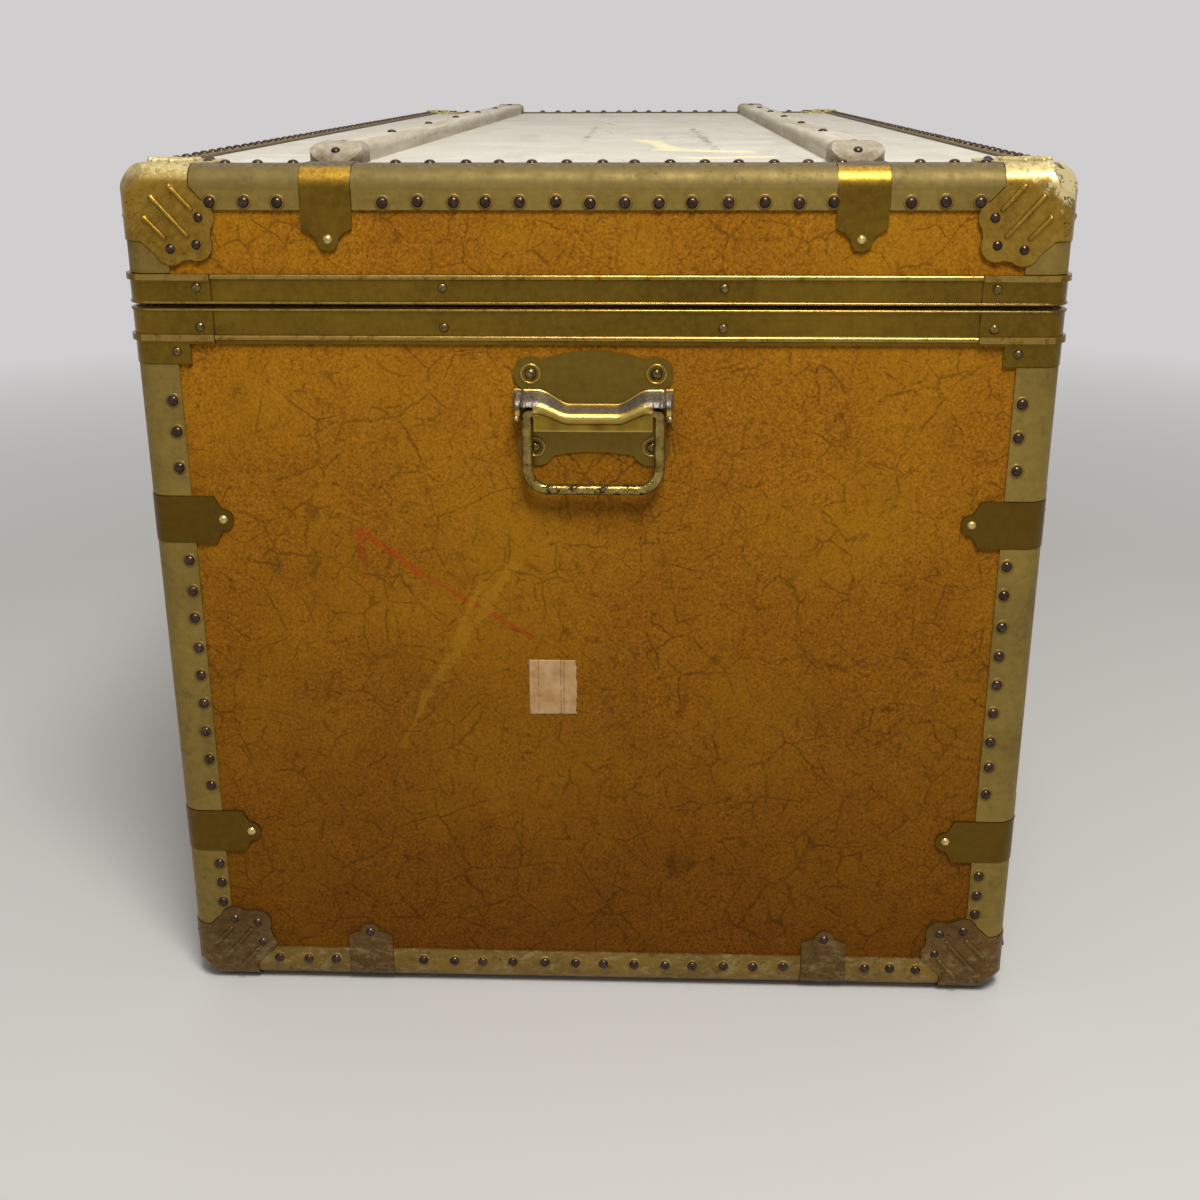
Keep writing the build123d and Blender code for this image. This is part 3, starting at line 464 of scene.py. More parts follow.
def clamp_plate(colours):
    """Pressed clamp: olive lacquer on the tongue, painted shade on the clamps lower down, a painted
    highlight at the bend, its hood painted like the slat.
    """
    f, colour, value = metal("Pressed brass-plated clamp", colours.clamps, "#5a430d", "#957722",
                             (0.3, 0.42), dirt=0.15, rubbed=True)
    # Painted shade: clamps below 0.44 m, lower on the trunk, are darkened towards a deep brown
    colour = f.lay(colour, "#4c3606", f.ramp(f.z, 0.38, 0.44, 0.55, 0.0))
    # Painted highlight: speckled bright gold on the bend, 5 to 12 mm below the top, fading out on the
    # topmost 2 mm
    bend = f.times(f.near_top(-12, -5), f.spots(2.6, 0.3, 0.6, 6, 0.8, seed=6.0))
    colour = f.lay(colour, "#c99a35", f.times(bend, f.near_top(-2, -0.5, (0.75, 0.0))))
    wavy = f.spots(10, 0.3, 0.7, 4, 0.6, (-2.2 * MM, 2.2 * MM), seed=19.0)
    out = f.math("ADD", f.math("ABSOLUTE", f.y), wavy)
    painted = f.most(f.near_top(1.0, 6.5, height=f.math("ADD", f.z, wavy)),
                     f.ramp(out, (SIDE_Y + 1.0) * MM, (SIDE_Y + 6.5) * MM))
    paint = f.lay("#a39882", "#877a62", f.spots(6, 0.4, 0.65, 6, 0.75, seed=33.0))
    colour = f.lay(colour, paint, painted)
    metal_share = f.math("SUBTRACT", 0.85, f.times(painted, 0.85))
    return f.set(base_color=colour, metallic=metal_share, roughness=f.more(value, painted, 0.35))


def leatherette(colours):
    """Embossed coated paper on cloth: felt-like mottle, brown and honey clouds, smudges, flecks, crackle.

    A crayon mark and two rubbed places lie on the end wall, and painted shade darkens the colour towards the
    floor.
    """
    f = Finish("Embossed leatherette")
    colour = f.mix(f.spots(1.8, 0.36, 0.64, 6, 0.85), "#643804", colours.leatherette)
    colour = f.lay(colour, "#7a4a0a", f.spots(55, 0.36, 0.66, 6, 0.7, warp=0.6, seed=4.0), 0.4)
    colour = f.lay(colour, "#a8770f", f.spots(120, 0.45, 0.7, 4, 0.6, seed=6.0), 0.4)
    colour = f.lay(colour, "#452a05", f.spots(9, 0.55, 0.66, 7, 0.85, warp=0.5, seed=15.0), 0.5)
    colour = f.lay(colour, "#4a2c08", f.spots(3.2, 0.61, 0.68, 5, 0.8, seed=25.0), 0.45)
    cracks = f.times(f.creases(44, 0.75, 0.45), 0.9)
    for cell, width, keep, depth in ((25, 0.65, 0.47, 0.9), (13, 0.5, 0.5, 0.75)):
        cracks = f.most(cracks, f.times(f.creases(cell, width, keep, cell / 10), depth))
    colour = f.lay(colour, "#3a2408", cracks, 0.5)
    crayon = f.strokes(((SKIN_X, -148, 331), (SKIN_X, -111, 303), 5.2, 1.2),
                       ((SKIN_X, -111, 303), (SKIN_X, -42, 261), 3.4, 0.9),
                       ((SKIN_X, -149.5, 331), (SKIN_X, -145, 300), 3.0, 3.0))
    colour = f.lay(colour, "#a63c14", crayon, 0.5)
    rub = f.strokes(((SKIN_X, -52, 308), (SKIN_X, -105, 228), 7.0, 5.0),
                    ((SKIN_X, -72, 296), (SKIN_X, -127, 182), 4.0, 3.0))
    colour = f.lay(colour, "#b58a20", rub, 0.3)
    # Painted shade: the colour is multiplied darker towards the floor, most at 0.02 m and none above 0.42 m
    colour = f.mix(f.ramp(f.z, 0.02, 0.42, 0.66, 0.0), colour, "#6a3a0a", "MULTIPLY")
    f.bump(f.math("SUBTRACT", f.noise(1.6, 6, 0.7), f.times(cracks, 0.6)), 0.25)
    gloss = f.spots(8, 0.3, 0.7, 5, 0.7, (0.55, 0.75), seed=5.0)
    return f.set(base_color=colour, roughness=gloss, ior=1.5, specular_ior_level=0.06)


def canvas(colours):
    """Oiled canvas gone ivory: grey stains along the trunk, fine cracks, torn spots of bare size."""
    f = Finish("Oiled canvas")
    colour = f.mix(f.spots(60, 0.35, 0.65, 6, 0.7, warp=0.7), "#bdb5a4", colours.canvas)
    colour = f.lay(colour, "#a49c8c", f.spots(30, 0.5, 0.72, 5, 0.7, stretch=(6, 1, 1), seed=3.0), 0.5)
    colour = f.lay(colour, "#8f8572", f.spots(4, 0.55, 0.8, 6, 0.75, (0, 0.4), seed=8.0))
    lines = f.times(f.creases(150, 1.0, 0.48), f.spots(180, 0.44, 0.56, 3, seed=5.0))
    drawn = f.strokes(((256, -21.7, TOP_Z), (-62, -24, TOP_Z), 3.0, 5.0),
                      ((-30, 70, TOP_Z), (403, 78, TOP_Z), 3.0, 6.0))
    cracks = f.most(lines, drawn)
    colour = f.lay(colour, "#6f6452", cracks, 0.75)
    bare = f.strokes(((239, 25, TOP_Z), (380, 48, TOP_Z), 17.0, 6.0),
                     ((400, 45, TOP_Z), (425, 92, TOP_Z), 26.0, 8.0),
                     ((505, 62, TOP_Z), (492, 108, TOP_Z), 20.0, 7.0))
    colour = f.lay(colour, "#e0d4a4", bare)
    f.bump(f.math("SUBTRACT", f.noise(1.1, 2, 0.5), f.times(cracks, 1.5)), 0.3)
    return f.set(base_color=colour, roughness=0.62, specular_ior_level=0.35)


# Width of a band of the wood's pores in millimetres, and how far the grain is drawn out along X
GRAIN = 2.2
ALONG = (14, 1, 1)


def wood(name, light, dark, rough, dirt=0.0):
    """Planed wood: long thin pores along the grain and slow bands of colour across it."""
    f = Finish(name)
    colour = f.mix(f.spots(GRAIN * 6, 0.3, 0.7, 4, 0.6, stretch=ALONG, warp=0.8), dark, light)
    pores = f.noise(GRAIN * 0.55, 4, 0.7, stretch=ALONG, seed=4.0)
    colour = f.lay(colour, dark, f.ramp(pores, 0.52, 0.72, 0.0, 0.5))
    if dirt:
        colour = f.lay(colour, "#5c4d38", f.spots(6, 0.54, 0.66, 7, 0.8, seed=9.0), dirt)
    f.bump(pores, 0.25)
    return f.set(base_color=colour, roughness=rough, specular_ior_level=0.4)


def nail_metal(name, colour, light, two_kinds=False):
    """Browned steel nail heads: dark oxide skin that is rubbed to metal on the crown.

    With two kinds, the nails of the corner caps, the hoods and the foot are browned, the others brass.
    """
    f = Finish(name)
    rubbed = f.spots(2.2, 0.42, 0.66, 5, 0.7)
    base = f.lay(colour, light, rubbed, 0.5)
    base = f.lay(base, "#2b1f18", f.spots(26, 0.35, 0.65, 3, to=(0, 0.5), seed=3.0))
    if two_kinds:
        corner = f.most(f.ramp(f.z, 0.49, 0.491), f.ramp(f.z, 0.064, 0.065, 1.0, 0.0))
        dark = f.times(f.ramp(f.math("ABSOLUTE", f.y), 0.214, 0.215), corner)
        dark = f.most(dark, f.near_top(1.5, 2), f.ramp(f.z, 49.0 * MM, 50.0 * MM, 1.0, 0.0))
        base = f.lay(f.lay("#ad9247", "#e0cd8e", rubbed), base, dark)
    f.bump(f.noise(1.3, 4), 0.08)
    return f.set(base_color=base, metallic=0.9, roughness=0.24)


def worn_pressing():
    """The handle's ridge: lacquered brass plate with a painted highlight along its edges and bulge, rubbed
    to grey steel on its crest.
    """
    f = Finish("Brass plate worn to steel")
    crest, edge = [add(f.tree, "Attribute", attribute_name=name).outputs["Fac"]
                   for name in ("crest", "edge")]
    colour = f.lay("#7a5f18", "#a5862f", f.spots(16, 0.35, 0.65, 5))
    # Painted highlight: pale gold where the edge mark is, in noisy patches
    colour = f.lay(colour, "#d8be6c", f.times(edge, f.spots(4, 0.3, 0.5, 5, 0.7, (0.6, 1.0), seed=2.0)))
    ragged = f.frayed(crest, 0.45, 2.6, 6, 0.8, 4.0)
    bare = f.ramp(ragged, 0.42, 0.56)
    colour = f.lay(colour, f.lay("#5b5148", "#8f8678", f.spots(1.5, 0.4, 0.6, 5, 0.8)), bare)
    rim = f.times(f.ramp(ragged, 0.34, 0.44), f.ramp(ragged, 0.46, 0.56, 1.0, 0.0))
    colour = f.lay(colour, "#241a10", f.times(rim, f.spots(2.0, 0.48, 0.6, seed=6.0)))
    f.bump(f.noise(2.0, 5, 0.7), 0.2)
    return f.set(base_color=colour, metallic=0.85, roughness=f.ramp(bare, 0.0, 1.0, 0.3, 0.5))


def bail_wire():
    """Plated steel wire: pale brass plate, chipped to black iron in the lower bends and along the bar."""
    f = Finish("Brass-plated wire, chipped")
    colour = f.lay("#6b5721", "#a48e50", f.spots(7, 0.35, 0.65, 5, 0.7))
    chip = f.math("ADD", f.noise(4.5, 6, 0.8, seed=3.0), f.ramp(f.z, 0.358, 0.378, 0.10, -0.03))
    bare = f.ramp(chip, 0.6, 0.65)
    colour = f.lay(colour, "#2a2117", bare)
    f.bump(f.math("SUBTRACT", f.noise(3, 4), bare), 0.15)
    return f.set(base_color=colour, metallic=0.9, roughness=f.ramp(bare, 0, 1, 0.22, 0.6))


def lining_paper():
    """Printed lining paper: ivory ground with narrow buff stripes 16 mm apart, a little foxed."""
    f = Finish("Striped lining paper")
    colour = f.lay("#cdbf9c", "#ddd2b4", f.spots(80, 0.35, 0.7, 5, 0.6))
    wave = f.math("SINE", f.times(f.math("ADD", f.x, f.y), 2 * math.pi * 1000 / 16))
    colour = f.lay(colour, "#a98b58", f.ramp(wave, 0.55, 0.65, 0, 0.55))
    colour = f.lay(colour, "#8a6c3f", f.spots(7, 0.62, 0.75, 6, 0.8, (0, 0.5), seed=5.0))
    f.bump(f.noise(1.2, 4), 0.1)
    return f.set(base_color=colour, roughness=0.85, specular_ior_level=0.25)


def twill_tape():
    """Cotton twill tape: diagonal ribs 2 mm apart, drawn coarser than real so that they show."""
    f = Finish("Cotton twill tape")
    ribs = f.math("SINE", f.times(f.math("ADD", f.y, f.z), 2 * math.pi * 1000 / 2.0))
    colour = f.lay("#a5905f", "#c7b68a", f.ramp(ribs, -0.8, 0.8, 0.0, 1.0))
    colour = f.lay(colour, "#84703f", f.spots(20, 0.4, 0.7, 5, to=(0, 0.4)))
    f.bump(ribs, 0.2)
    return f.set(base_color=colour, roughness=0.9, specular_ior_level=0.2)


def tan_leather():
    """Vegetable-tanned leather with a pebbled grain."""
    f = Finish("Vegetable-tanned leather")
    colour = f.lay("#6b3c1a", "#96602c", f.spots(12, 0.35, 0.65, 5))
    f.bump(add(f.tree, "TexVoronoi", {"Vector": f.place, "Scale": 1000 / 1.4}).outputs[0], 0.15)
    return f.set(base_color=colour, roughness=0.55)


def gummed_paper():
    """A gummed paper label gone tan, ruled but blank, a little stained."""
    f = Finish("Gummed label paper")
    colour = f.lay("#9c7544", "#b8946a", f.spots(14, 0.35, 0.65, 6, 0.7))
    middle = (LABEL_LOW[1] + LABEL_HIGH[1]) / 2 * MM
    for away in (-9.5, 5.0, 7.0):
        gap = f.math("ABSOLUTE", f.math("SUBTRACT", f.y, middle + away * MM))
        rule = f.times(f.ramp(gap, 0.25 * MM, 0.45 * MM, 1, 0), f.spots(3, 0.35, 0.5))
        colour = f.lay(colour, "#6a3f24", rule, 0.6)
    colour = f.lay(colour, "#8a5f30", f.spots(5, 0.6, 0.7, 6, 0.8, (0, 0.6), seed=3.0))
    f.bump(f.noise(6, 4), 0.2)
    return f.set(base_color=colour, roughness=0.8, specular_ior_level=0.2)


def trunk_materials(colours):
    """Every finish, by the slot of the frame that it goes on."""
    return {
        "leatherette_orange": leatherette(colours),
        "canvas_ivory": canvas(colours),
        "edging_steel": sheet_metal("Lacquered steel edging", colours.edging, "#6c551d", "#a08c48",
                                    (0.44, 0.58), dirt=0.25, rubbed=True, worn_bend=0.75, metallic=0.62),
        "edging_scuffed": sheet_metal("Lacquered steel edging, scuffed", "#86692a", "#644c18", "#94793a",
                                      (0.4, 0.58), dirt=0.5, scuff=0.7, metallic=0.7),
        "band_steel": sheet_metal("Brass-plated band", colours.bands, "#5a430b", "#96792a",
                                  (0.22, 0.32), dirt=0.2, beads=True, metallic=0.85),
        "cap_brass": cap_plate(colours),
        "cap_brass_worn": sheet_metal("Pressed cap, scuffed", "#67491a", "#463110", "#84683a",
                                      (0.36, 0.52), pits=0.9, dirt=0.6, scuff=0.45, metallic=0.7),
        "clamp_brass": clamp_plate(colours),
        "slat_beech": wood("Beech slat, weathered", "#d0c7b2", "#a3977f", 0.75, dirt=0.6),
        "nail_bronze": nail_metal("Browned steel nail", "#3c2d24", "#7d6b5a"),
        "nail_mixed": nail_metal("Browned and brassed nails", "#3c2d24", "#7d6b5a", two_kinds=True),
        "rivet_brass": nail_metal("Brassed rivet", "#5d4c27", "#c2ac6a"),
        "handle_brass": sheet_metal("Lacquered handle plate", "#735a1c", "#66500f", "#8b7230",
                                    (0.3, 0.4), dirt=0.1),
        "handle_worn": worn_pressing(),
        "bail_steel": bail_wire(),
        "lock_brass": sheet_metal("Polished lock brass", "#b08d38", "#7a5f17", "#cfb264", (0.22, 0.38),
                                  dirt=0.3),
        "board_poplar": wood("Poplar board", "#c9a877", "#a07c4c", 0.7),
        "lining_paper": lining_paper(),
        "tray_wood": wood("Tray board, shellacked", "#b78a54", "#8f6234", 0.45),
        "tab_leather": tan_leather(),
        "tape_cotton": twill_tape(),
        "label_paper": gummed_paper(),
    }


# Frame nodes that take another finish than their own slot's
SPECIAL = {"base_edging": "edging_scuffed", "base_slat_clamps": "cap_brass_worn",
           "lid_nails": "nail_mixed", "body_nails": "nail_mixed",
           "right_handle_rivets": "rivet_brass", "left_handle_rivets": "rivet_brass"}


class TRUNK_OT_finishes(bpy.types.Operator):
    """Give every frame node its finish"""

    bl_idname = "trunk.finishes"
    bl_label = "Finishes"

    def execute(self, context):
        finishes.update(trunk_materials(context.scene.trunk_colours))
        for name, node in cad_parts.items():
            for slot in node.material_slots:
                slot.material = finishes[SPECIAL.get(name, slot.material.name.split(".")[0])]
        return {"FINISHED"}


def spaced(first, last, count, random, slip=0.9):
    """Count places from first to last, each slipped a little by hand."""
    return np.linspace(first, last, count) + random.uniform(-slip, slip, count)


# Rows of tacks between the fittings: along Y on the ends, along Z on the uprights
LID_CROSS = ((-224.3, -184.8, 3), (-122.4, 139.2, 14), (183.9, 222.5, 3))
BASE_CROSS = ((-221.0, -181.0, 3), (-119.5, 130.0, 13), (185.0, 220.0, 3))
UPRIGHT = ((413.6, 372.1, 3), (310.5, 152.0, 9), (92.0, 63.0, 3))
LONG_START = 66.0
IN_FROM_EDGE = 17.6
UPRIGHT_IN = 22.4
TACK_DOWN = 21.0
# The pressed seat under a tack's head: its radii, and its heights from below the edging to the flat top
SEAT_PROFILE = ((0, 4.9, 4.75, 4.1, 0), (-0.2, -0.2, 0.16, 0.3, 0.3))


def points_of(x, y, z):
    """Points from their coordinates, of which some are the same for all."""
    return np.stack(np.broadcast_arrays(x, y, z), -1)


def row_values(rows, random):
    """The places of several rows, one after another."""
    return np.concatenate([spaced(*row, random) for row in rows])


def edging_tacks(random, cross, z_face, z_row, upward, long_count):
    """Places and directions of the tacks on one level: on its ends, its long sides and its flat face."""
    places, ways = [], []

    def lay(x, y, z, way):
        """One row at these places, all facing one way."""
        row = points_of(x, y, z).astype(float)
        places.append(row + random.uniform(-0.5, 0.5, row.shape) * (np.array(way) == 0))
        ways.append(np.broadcast_to(np.array(way, float), row.shape))

    for side in (-1, 1):
        lay(side * END_X, row_values(cross, random), z_row, (side, 0, 0))
        along = spaced(LONG_START - END_X, END_X - LONG_START, long_count, random)
        lay(along, side * SIDE_Y, z_row, (0, side, 0))
        if upward:
            lay(side * (END_X - IN_FROM_EDGE), row_values(cross, random) + 6.0, z_face, (0, 0, 1))
            along = spaced(LONG_START - END_X, END_X - LONG_START, long_count, random)
            lay(along, side * (SIDE_Y - IN_FROM_EDGE), z_face, (0, 0, 1))
        else:
            for end in (-1, 1):
                run = row_values(UPRIGHT, random)
                lay(end * END_X, side * (SIDE_Y - UPRIGHT_IN), run, (end, 0, 0))
                run = row_values(UPRIGHT, random)
                lay(end * (END_X - UPRIGHT_IN), side * SIDE_Y, run, (0, side, 0))
    return np.vstack(places), np.vstack(ways)


class TRUNK_OT_edging_tacks(bpy.types.Operator):
    """Drive the rows of tacks that hold the edging"""

    bl_idname = "trunk.edging_tacks"
    bl_label = "Edging tacks"

    def execute(self, context):
        sizes = context.scene.trunk_sizes
        shape = head_shape(sizes.tack_radius / MM, sizes.tack_height / MM)
        levels = (("lid_edging_tacks", "lid", LID_CROSS, TOP_Z, TOP_Z - TACK_DOWN, True),
                  ("body_edging_tacks", "trunk", BASE_CROSS, BASE_Z, BASE_Z + IN_FROM_EDGE - 1, False))
        for number, (name, body, cross, z_face, z_row, upward) in enumerate(levels):
            random = np.random.default_rng(SEED + number)
            places, ways = edging_tacks(random, cross, z_face, z_row, upward, sizes.long_tacks)
            tacks = placed(shape, places, ways)
            make_piece(name, tacks, "nail_bronze", body)
            seats = placed(lathe(*SEAT_PROFILE, 14), places, ways)
            make_piece(name.replace("tacks", "seats"), seats, "edging_steel", body, "edging_scuffed")
        return {"FINISHED"}


# The hem of the bands: its bar's radius, how far it stands out, its corners' radius, its reach on a side
HEM_R = 0.9
HEM_PROUD = 0.6
HEM_CORNER = 13.6
HEM_LAP = 36.0
# Where the hem stops for latches and hinges, along X
LATCH_GAPS = ((-362.0, -318.0), (-32.0, 32.0), (318.0, 362.0))
HINGE_GAPS = ((-412.0, -348.0), (-32.0, 32.0), (348.0, 412.0))
# Rivets along the bands, and the nails of the corner straps, measured in from the corner
LID_RIVET_Z = 481.8
BODY_RIVET_Z = 458.3
BAND_RIVET_Y = (-89.5, 77.5)
BAND_RIVET_X = (-480.0, -230.0, -110.0, 110.0, 230.0, 480.0)
CORNER_NAIL_IN = 42.9
FLAP_NAIL_IN = 27.5
FLAP_NAIL_Z = 443.5


def band_nails(z, flap):
    """Places and directions of the rivets in one band and of the nails in its corner straps."""
    places, ways = [], []
    for side in (-1, 1):
        face_x, face_y = side * END_X, side * SIDE_Y
        strap_x, strap_y = side * (END_X + CORNER_PROUD), side * (SIDE_Y + CORNER_PROUD)
        places += [(face_x, y, z) for y in BAND_RIVET_Y]
        ways += [(side, 0, 0)] * len(BAND_RIVET_Y)
        places += [(x, face_y, z) for x in BAND_RIVET_X]
        ways += [(0, side, 0)] * len(BAND_RIVET_X)
        for end in (-1, 1):
            rows = [(CORNER_NAIL_IN, z)] + ([(FLAP_NAIL_IN, FLAP_NAIL_Z)] if flap else [])
            for inset, height in rows:
                places += [(strap_x, end * (SIDE_Y - inset), height),
                           (end * (END_X - inset), strap_y, height)]
                ways += [(side, 0, 0), (0, side, 0)]
    return np.array(places), np.array(ways)


def hem_bar(path, ways, z, steps=8):
    """A round bar along a level path: each ring is centre + r cos a (way) + r sin a (up)."""
    lean = np.arange(steps) * 2 * np.pi / steps
    spread = HEM_R * np.cos(lean)[None, :, None] * ways[:, None, :]
    heights = np.broadcast_to((z + HEM_R * np.sin(lean))[None, :, None], (len(path), steps, 1))
    points = np.concatenate((path[:, None, :] + spread, heights), -1).reshape(-1, 3)
    quads = grid_quads(len(path), steps, closed=True).tolist()
    last = (len(path) - 1) * steps
    return points, quads + [list(range(steps))[::-1], list(range(last, last + steps))]


def hem_paths():
    """The hem's paths in plan: round both ends of the trunk, and along its sides between the fittings."""
    turn = np.linspace(0, np.pi / 2, 8)
    way = np.stack((np.cos(turn), np.sin(turn)), -1)
    arc = np.array((END_X, SIDE_Y)) + HEM_PROUD - HEM_CORNER + HEM_CORNER * way
    path = np.vstack(((arc[-1] - (HEM_LAP, 0)), arc[::-1]))
    ways = np.vstack(((0.0, 1.0), way[::-1]))
    path = np.vstack((path, path[::-1] * (1, -1)))
    ways = np.vstack((ways, ways[::-1] * (1, -1)))
    runs = [(path * (end, 1), ways * (end, 1)) for end in (-1, 1)]
    for side, gaps in ((-1, LATCH_GAPS), (1, HINGE_GAPS)):
        reach = END_X - HEM_LAP - HEM_CORNER
        marks = [-reach, *[x for gap in gaps for x in gap], reach]
        y = side * (SIDE_Y + HEM_PROUD - CORNER_PROUD)
        for start, end in zip(marks[::2], marks[1::2]):
            runs.append((np.array(((start, y), (end, y))), np.array(((0.0, side), (0.0, side)))))
    return runs


class TRUNK_OT_band_hems(bpy.types.Operator):
    """Roll a hem along the closing edge of the lid's and the body's bands"""

    bl_idname = "trunk.band_hems"
    bl_label = "Band hems"

    def execute(self, context):
        for name, body, z in (("lid_band_hem", "lid", LID_BAND_Z + HEM_R),
                              ("body_band_hem", "trunk", BODY_BAND_Z - HEM_R)):
            make_piece(name, joined([hem_bar(*run, z) for run in hem_paths()]), "band_steel", body)
        return {"FINISHED"}


class TRUNK_OT_band_rivets(bpy.types.Operator):
    """Rivet the bands and their corner straps"""

    bl_idname = "trunk.band_rivets"
    bl_label = "Band rivets"

    def execute(self, context):
        shape = head_shape(3.0, 1.8, sides=16, rings=4)
        for name, body, z, flap in (("lid_band_rivets", "lid", LID_RIVET_Z, False),
                                    ("body_band_rivets", "trunk", BODY_RIVET_Z, True)):
            make_piece(name, placed(shape, *band_nails(z, flap)), "nail_bronze", body, "rivet_brass")
        return {"FINISHED"}


# Pressed ribs of a corner cap, from and to, as distances from the corner along the two edges of a face
CAP_RIBS = (((21.5, 18.5), (41.0, 40.8)), ((33.0, 12.6), (44.6, 25.6)), ((16.5, 30.4), (27.4, 42.0)))
# The sphere that rounds a cap's corner: its centre's distance from the three faces, and its radius
BALL_IN = 40.0
BALL_R = 56.0


def cap_dip(u, v):
    """How far a cap's round corner lies under its flat face: c - sqrt(R^2 - (c - u)^2 - (c - v)^2)."""
    across = (BALL_IN - u) ** 2 + (BALL_IN - v) ** 2
    return np.maximum(BALL_IN - np.sqrt(np.maximum(BALL_R ** 2 - across, 0)), 0)


def rib_shape(start, end, radius):
    """A rib as (u, v, height): a round bar with round ends, half sunk, that follows the cap's surface."""
    start, end = np.array(start), np.array(end)
    run = np.linalg.norm(end - start)
    turn = np.linspace(-np.pi / 2, np.pi / 2, 7)
    middle = np.linspace(0, run, 9)[1:-1]
    along = np.concatenate((radius * np.sin(turn[:4]), middle, run + radius * np.sin(turn[3:])))
    radii = radius * np.concatenate((np.cos(turn[:4]), np.ones(len(middle)), np.cos(turn[3:])))
    radii = radii * (1.12 - 0.25 * along / run)
    radii[0] = radii[-1] = 0
    points, faces = lathe(radii, along, 12)
    way = (end - start) / run
    u = start[0] + points[:, 2] * way[0] - points[:, 0] * way[1]
    v = start[1] + points[:, 2] * way[1] + points[:, 0] * way[0]
    return np.stack((u, v, points[:, 1] * 1.2 - cap_dip(u, v)), -1), faces


class TRUNK_OT_cap_ribs(bpy.types.Operator):
    """Press three ribs into each face of the corner caps"""

    bl_idname = "trunk.cap_ribs"
    bl_label = "Cap ribs"

    def execute(self, context):
        radius = context.scene.trunk_sizes.rib_radius / MM
        levels = (("lid_cap_ribs", "lid", TOP_Z + CAP_PROUD, 1, "cap_brass"),
                  ("base_cap_ribs", "trunk", 0.0, -1, "cap_brass_worn"))
        for name, body, z, up, finish in levels:
            shapes = []
            faces_shown = 3 if up > 0 else 2
            for end in (-1, 1):
                for side in (-1, 1):
                    corner = np.array((end * (END_X + CAP_PROUD), side * (SIDE_Y + CAP_PROUD), z))
                    outward = np.array((end, side, up))
                    for normal in range(faces_shown):
                        first, second = [axis for axis in range(3) if axis != normal]
                        for rib in CAP_RIBS:
                            points, faces = rib_shape(*rib, radius)
                            there = np.zeros_like(points)
                            there[:, first] = -outward[first] * points[:, 0]
                            there[:, second] = -outward[second] * points[:, 1]
                            there[:, normal] = outward[normal] * points[:, 2]
                            shapes.append((corner + there, faces))
            make_piece(name, joined(shapes), finish, body)
        return {"FINISHED"}


# The handle's pressed ridge, in millimetres along Y and Z on the back plate
RIDGE_HALF = 48.5
NOTCH = (36.2, 44.4)
RIDGE_END = 2.2
RIDGE_TOP = (412.4, 421.2)
RIDGE_UPPER = (408.6, 415.2)
RIDGE_LOWER = (403.2, 409.4)
SKIRT_Z = 397.2
ROOF_Z = 412.9
EAR_Z = 403.2
EAR_DROP = 3.4
SKIRT_BACK = 2.6
# Radius of the back plate's rivets, and the two lower rivets' distance from the middle
RIVET_R = 3.7
LOW_RIVET_Y = 36.0


def ridge_shape(proud, metal_t):
    """The ridge: x(y, z) climbs by a smooth step to its crest, holds, and steps back to a straight skirt.

    Its heights rise from the middle to the ends by a smooth step in |y|. Its lower edge is straight, is
    notched over each arm of the bail, and comes down again at the outer ears, which lie lower. A rolled bead
    runs down each side of the notch: cos^2 in |y|. The ends round off to the plate.
    Returns the shape and, for each point, how much of the worn crest and of the painted highlight along the
    edges and bulge it is.
    """
    inner, outer = NOTCH
    y = np.unique(np.concatenate((np.linspace(-RIDGE_HALF, RIDGE_HALF, 151), *[
        side * (knee + np.array((-0.3, 0, 0.3))) for side in (-1, 1) for knee in NOTCH])))
    away = np.abs(y)[:, None]
    lift = smooth_step((away - 14) / 20)
    top, upper, lower = (low + (high - low) * lift for low, high in (RIDGE_TOP, RIDGE_UPPER, RIDGE_LOWER))
    foot = SKIRT_Z + (ROOF_Z - SKIRT_Z) * smooth_step((away - inner + 0.3) / 0.6)
    foot = foot + (EAR_Z - ROOF_Z) * smooth_step((away - outer + 0.3) / 0.6)
    share = np.linspace(0, 1, 64)[None, :]
    z = top + (foot - top) * share
    x = proud * smooth_step((top - z) / (top - upper))
    x = x + 1.3 * np.sin(np.pi * np.clip((upper + 0.6 - z) / (upper - lower), 0, 1)) ** 2
    ear = smooth_step((away - outer + 1.4) / 1.2)
    x = x - (1 - ear) * (SKIRT_BACK * smooth_step((lower - z) / 2.2) + 0.05 * np.maximum(lower - z, 0))
    x = x - EAR_DROP * ear
    for place, width, rise in ((outer - 3.1, 1.5, 1.3), (RIDGE_HALF - 1.6, 1.3, 0.9)):
        bead = np.cos(np.pi / 2 * np.clip((away - place) / width, -1, 1)) ** 2
        x = x + rise * bead * smooth_step((top - z) / 2)
    x = x * np.sqrt(np.clip(1 - np.clip((away - RIDGE_HALF + RIDGE_END) / RIDGE_END, 0, 0.97) ** 2, 0, 1))
    end_part = smooth_step((away - 30) / 9)
    worn_low = upper - 0.4 - (upper - lower - 1.5) * end_part
    crest = smooth_step((top - 0.7 - z) / 1.0) * smooth_step((z - worn_low) / 1.4)
    # The edge mark is a painted highlight: a line on the bulge below the worn crest, the top edge, the beads
    # by the notches and the foot
    edge = 0.8 * np.exp(-((z - worn_low + 2.2) / 1.8) ** 2) + 0.9 * np.exp(-((z - top) / 0.7) ** 2)
    edge = edge + 0.8 * np.exp(-(away - outer + 3.1) ** 2) + 0.6 * np.exp(-((z - foot) / 0.8) ** 2)
    across = np.broadcast_to(y[:, None], z.shape)
    front = np.stack((PLATE_X + x, across, z), -1)
    back = np.stack((PLATE_X + np.maximum(x - metal_t, -0.4), across * 0.995, z), -1)
    marks = [np.concatenate((mark.ravel(), mark.ravel())) for mark in (crest, edge)]
    return thick_sheet(front, back), marks


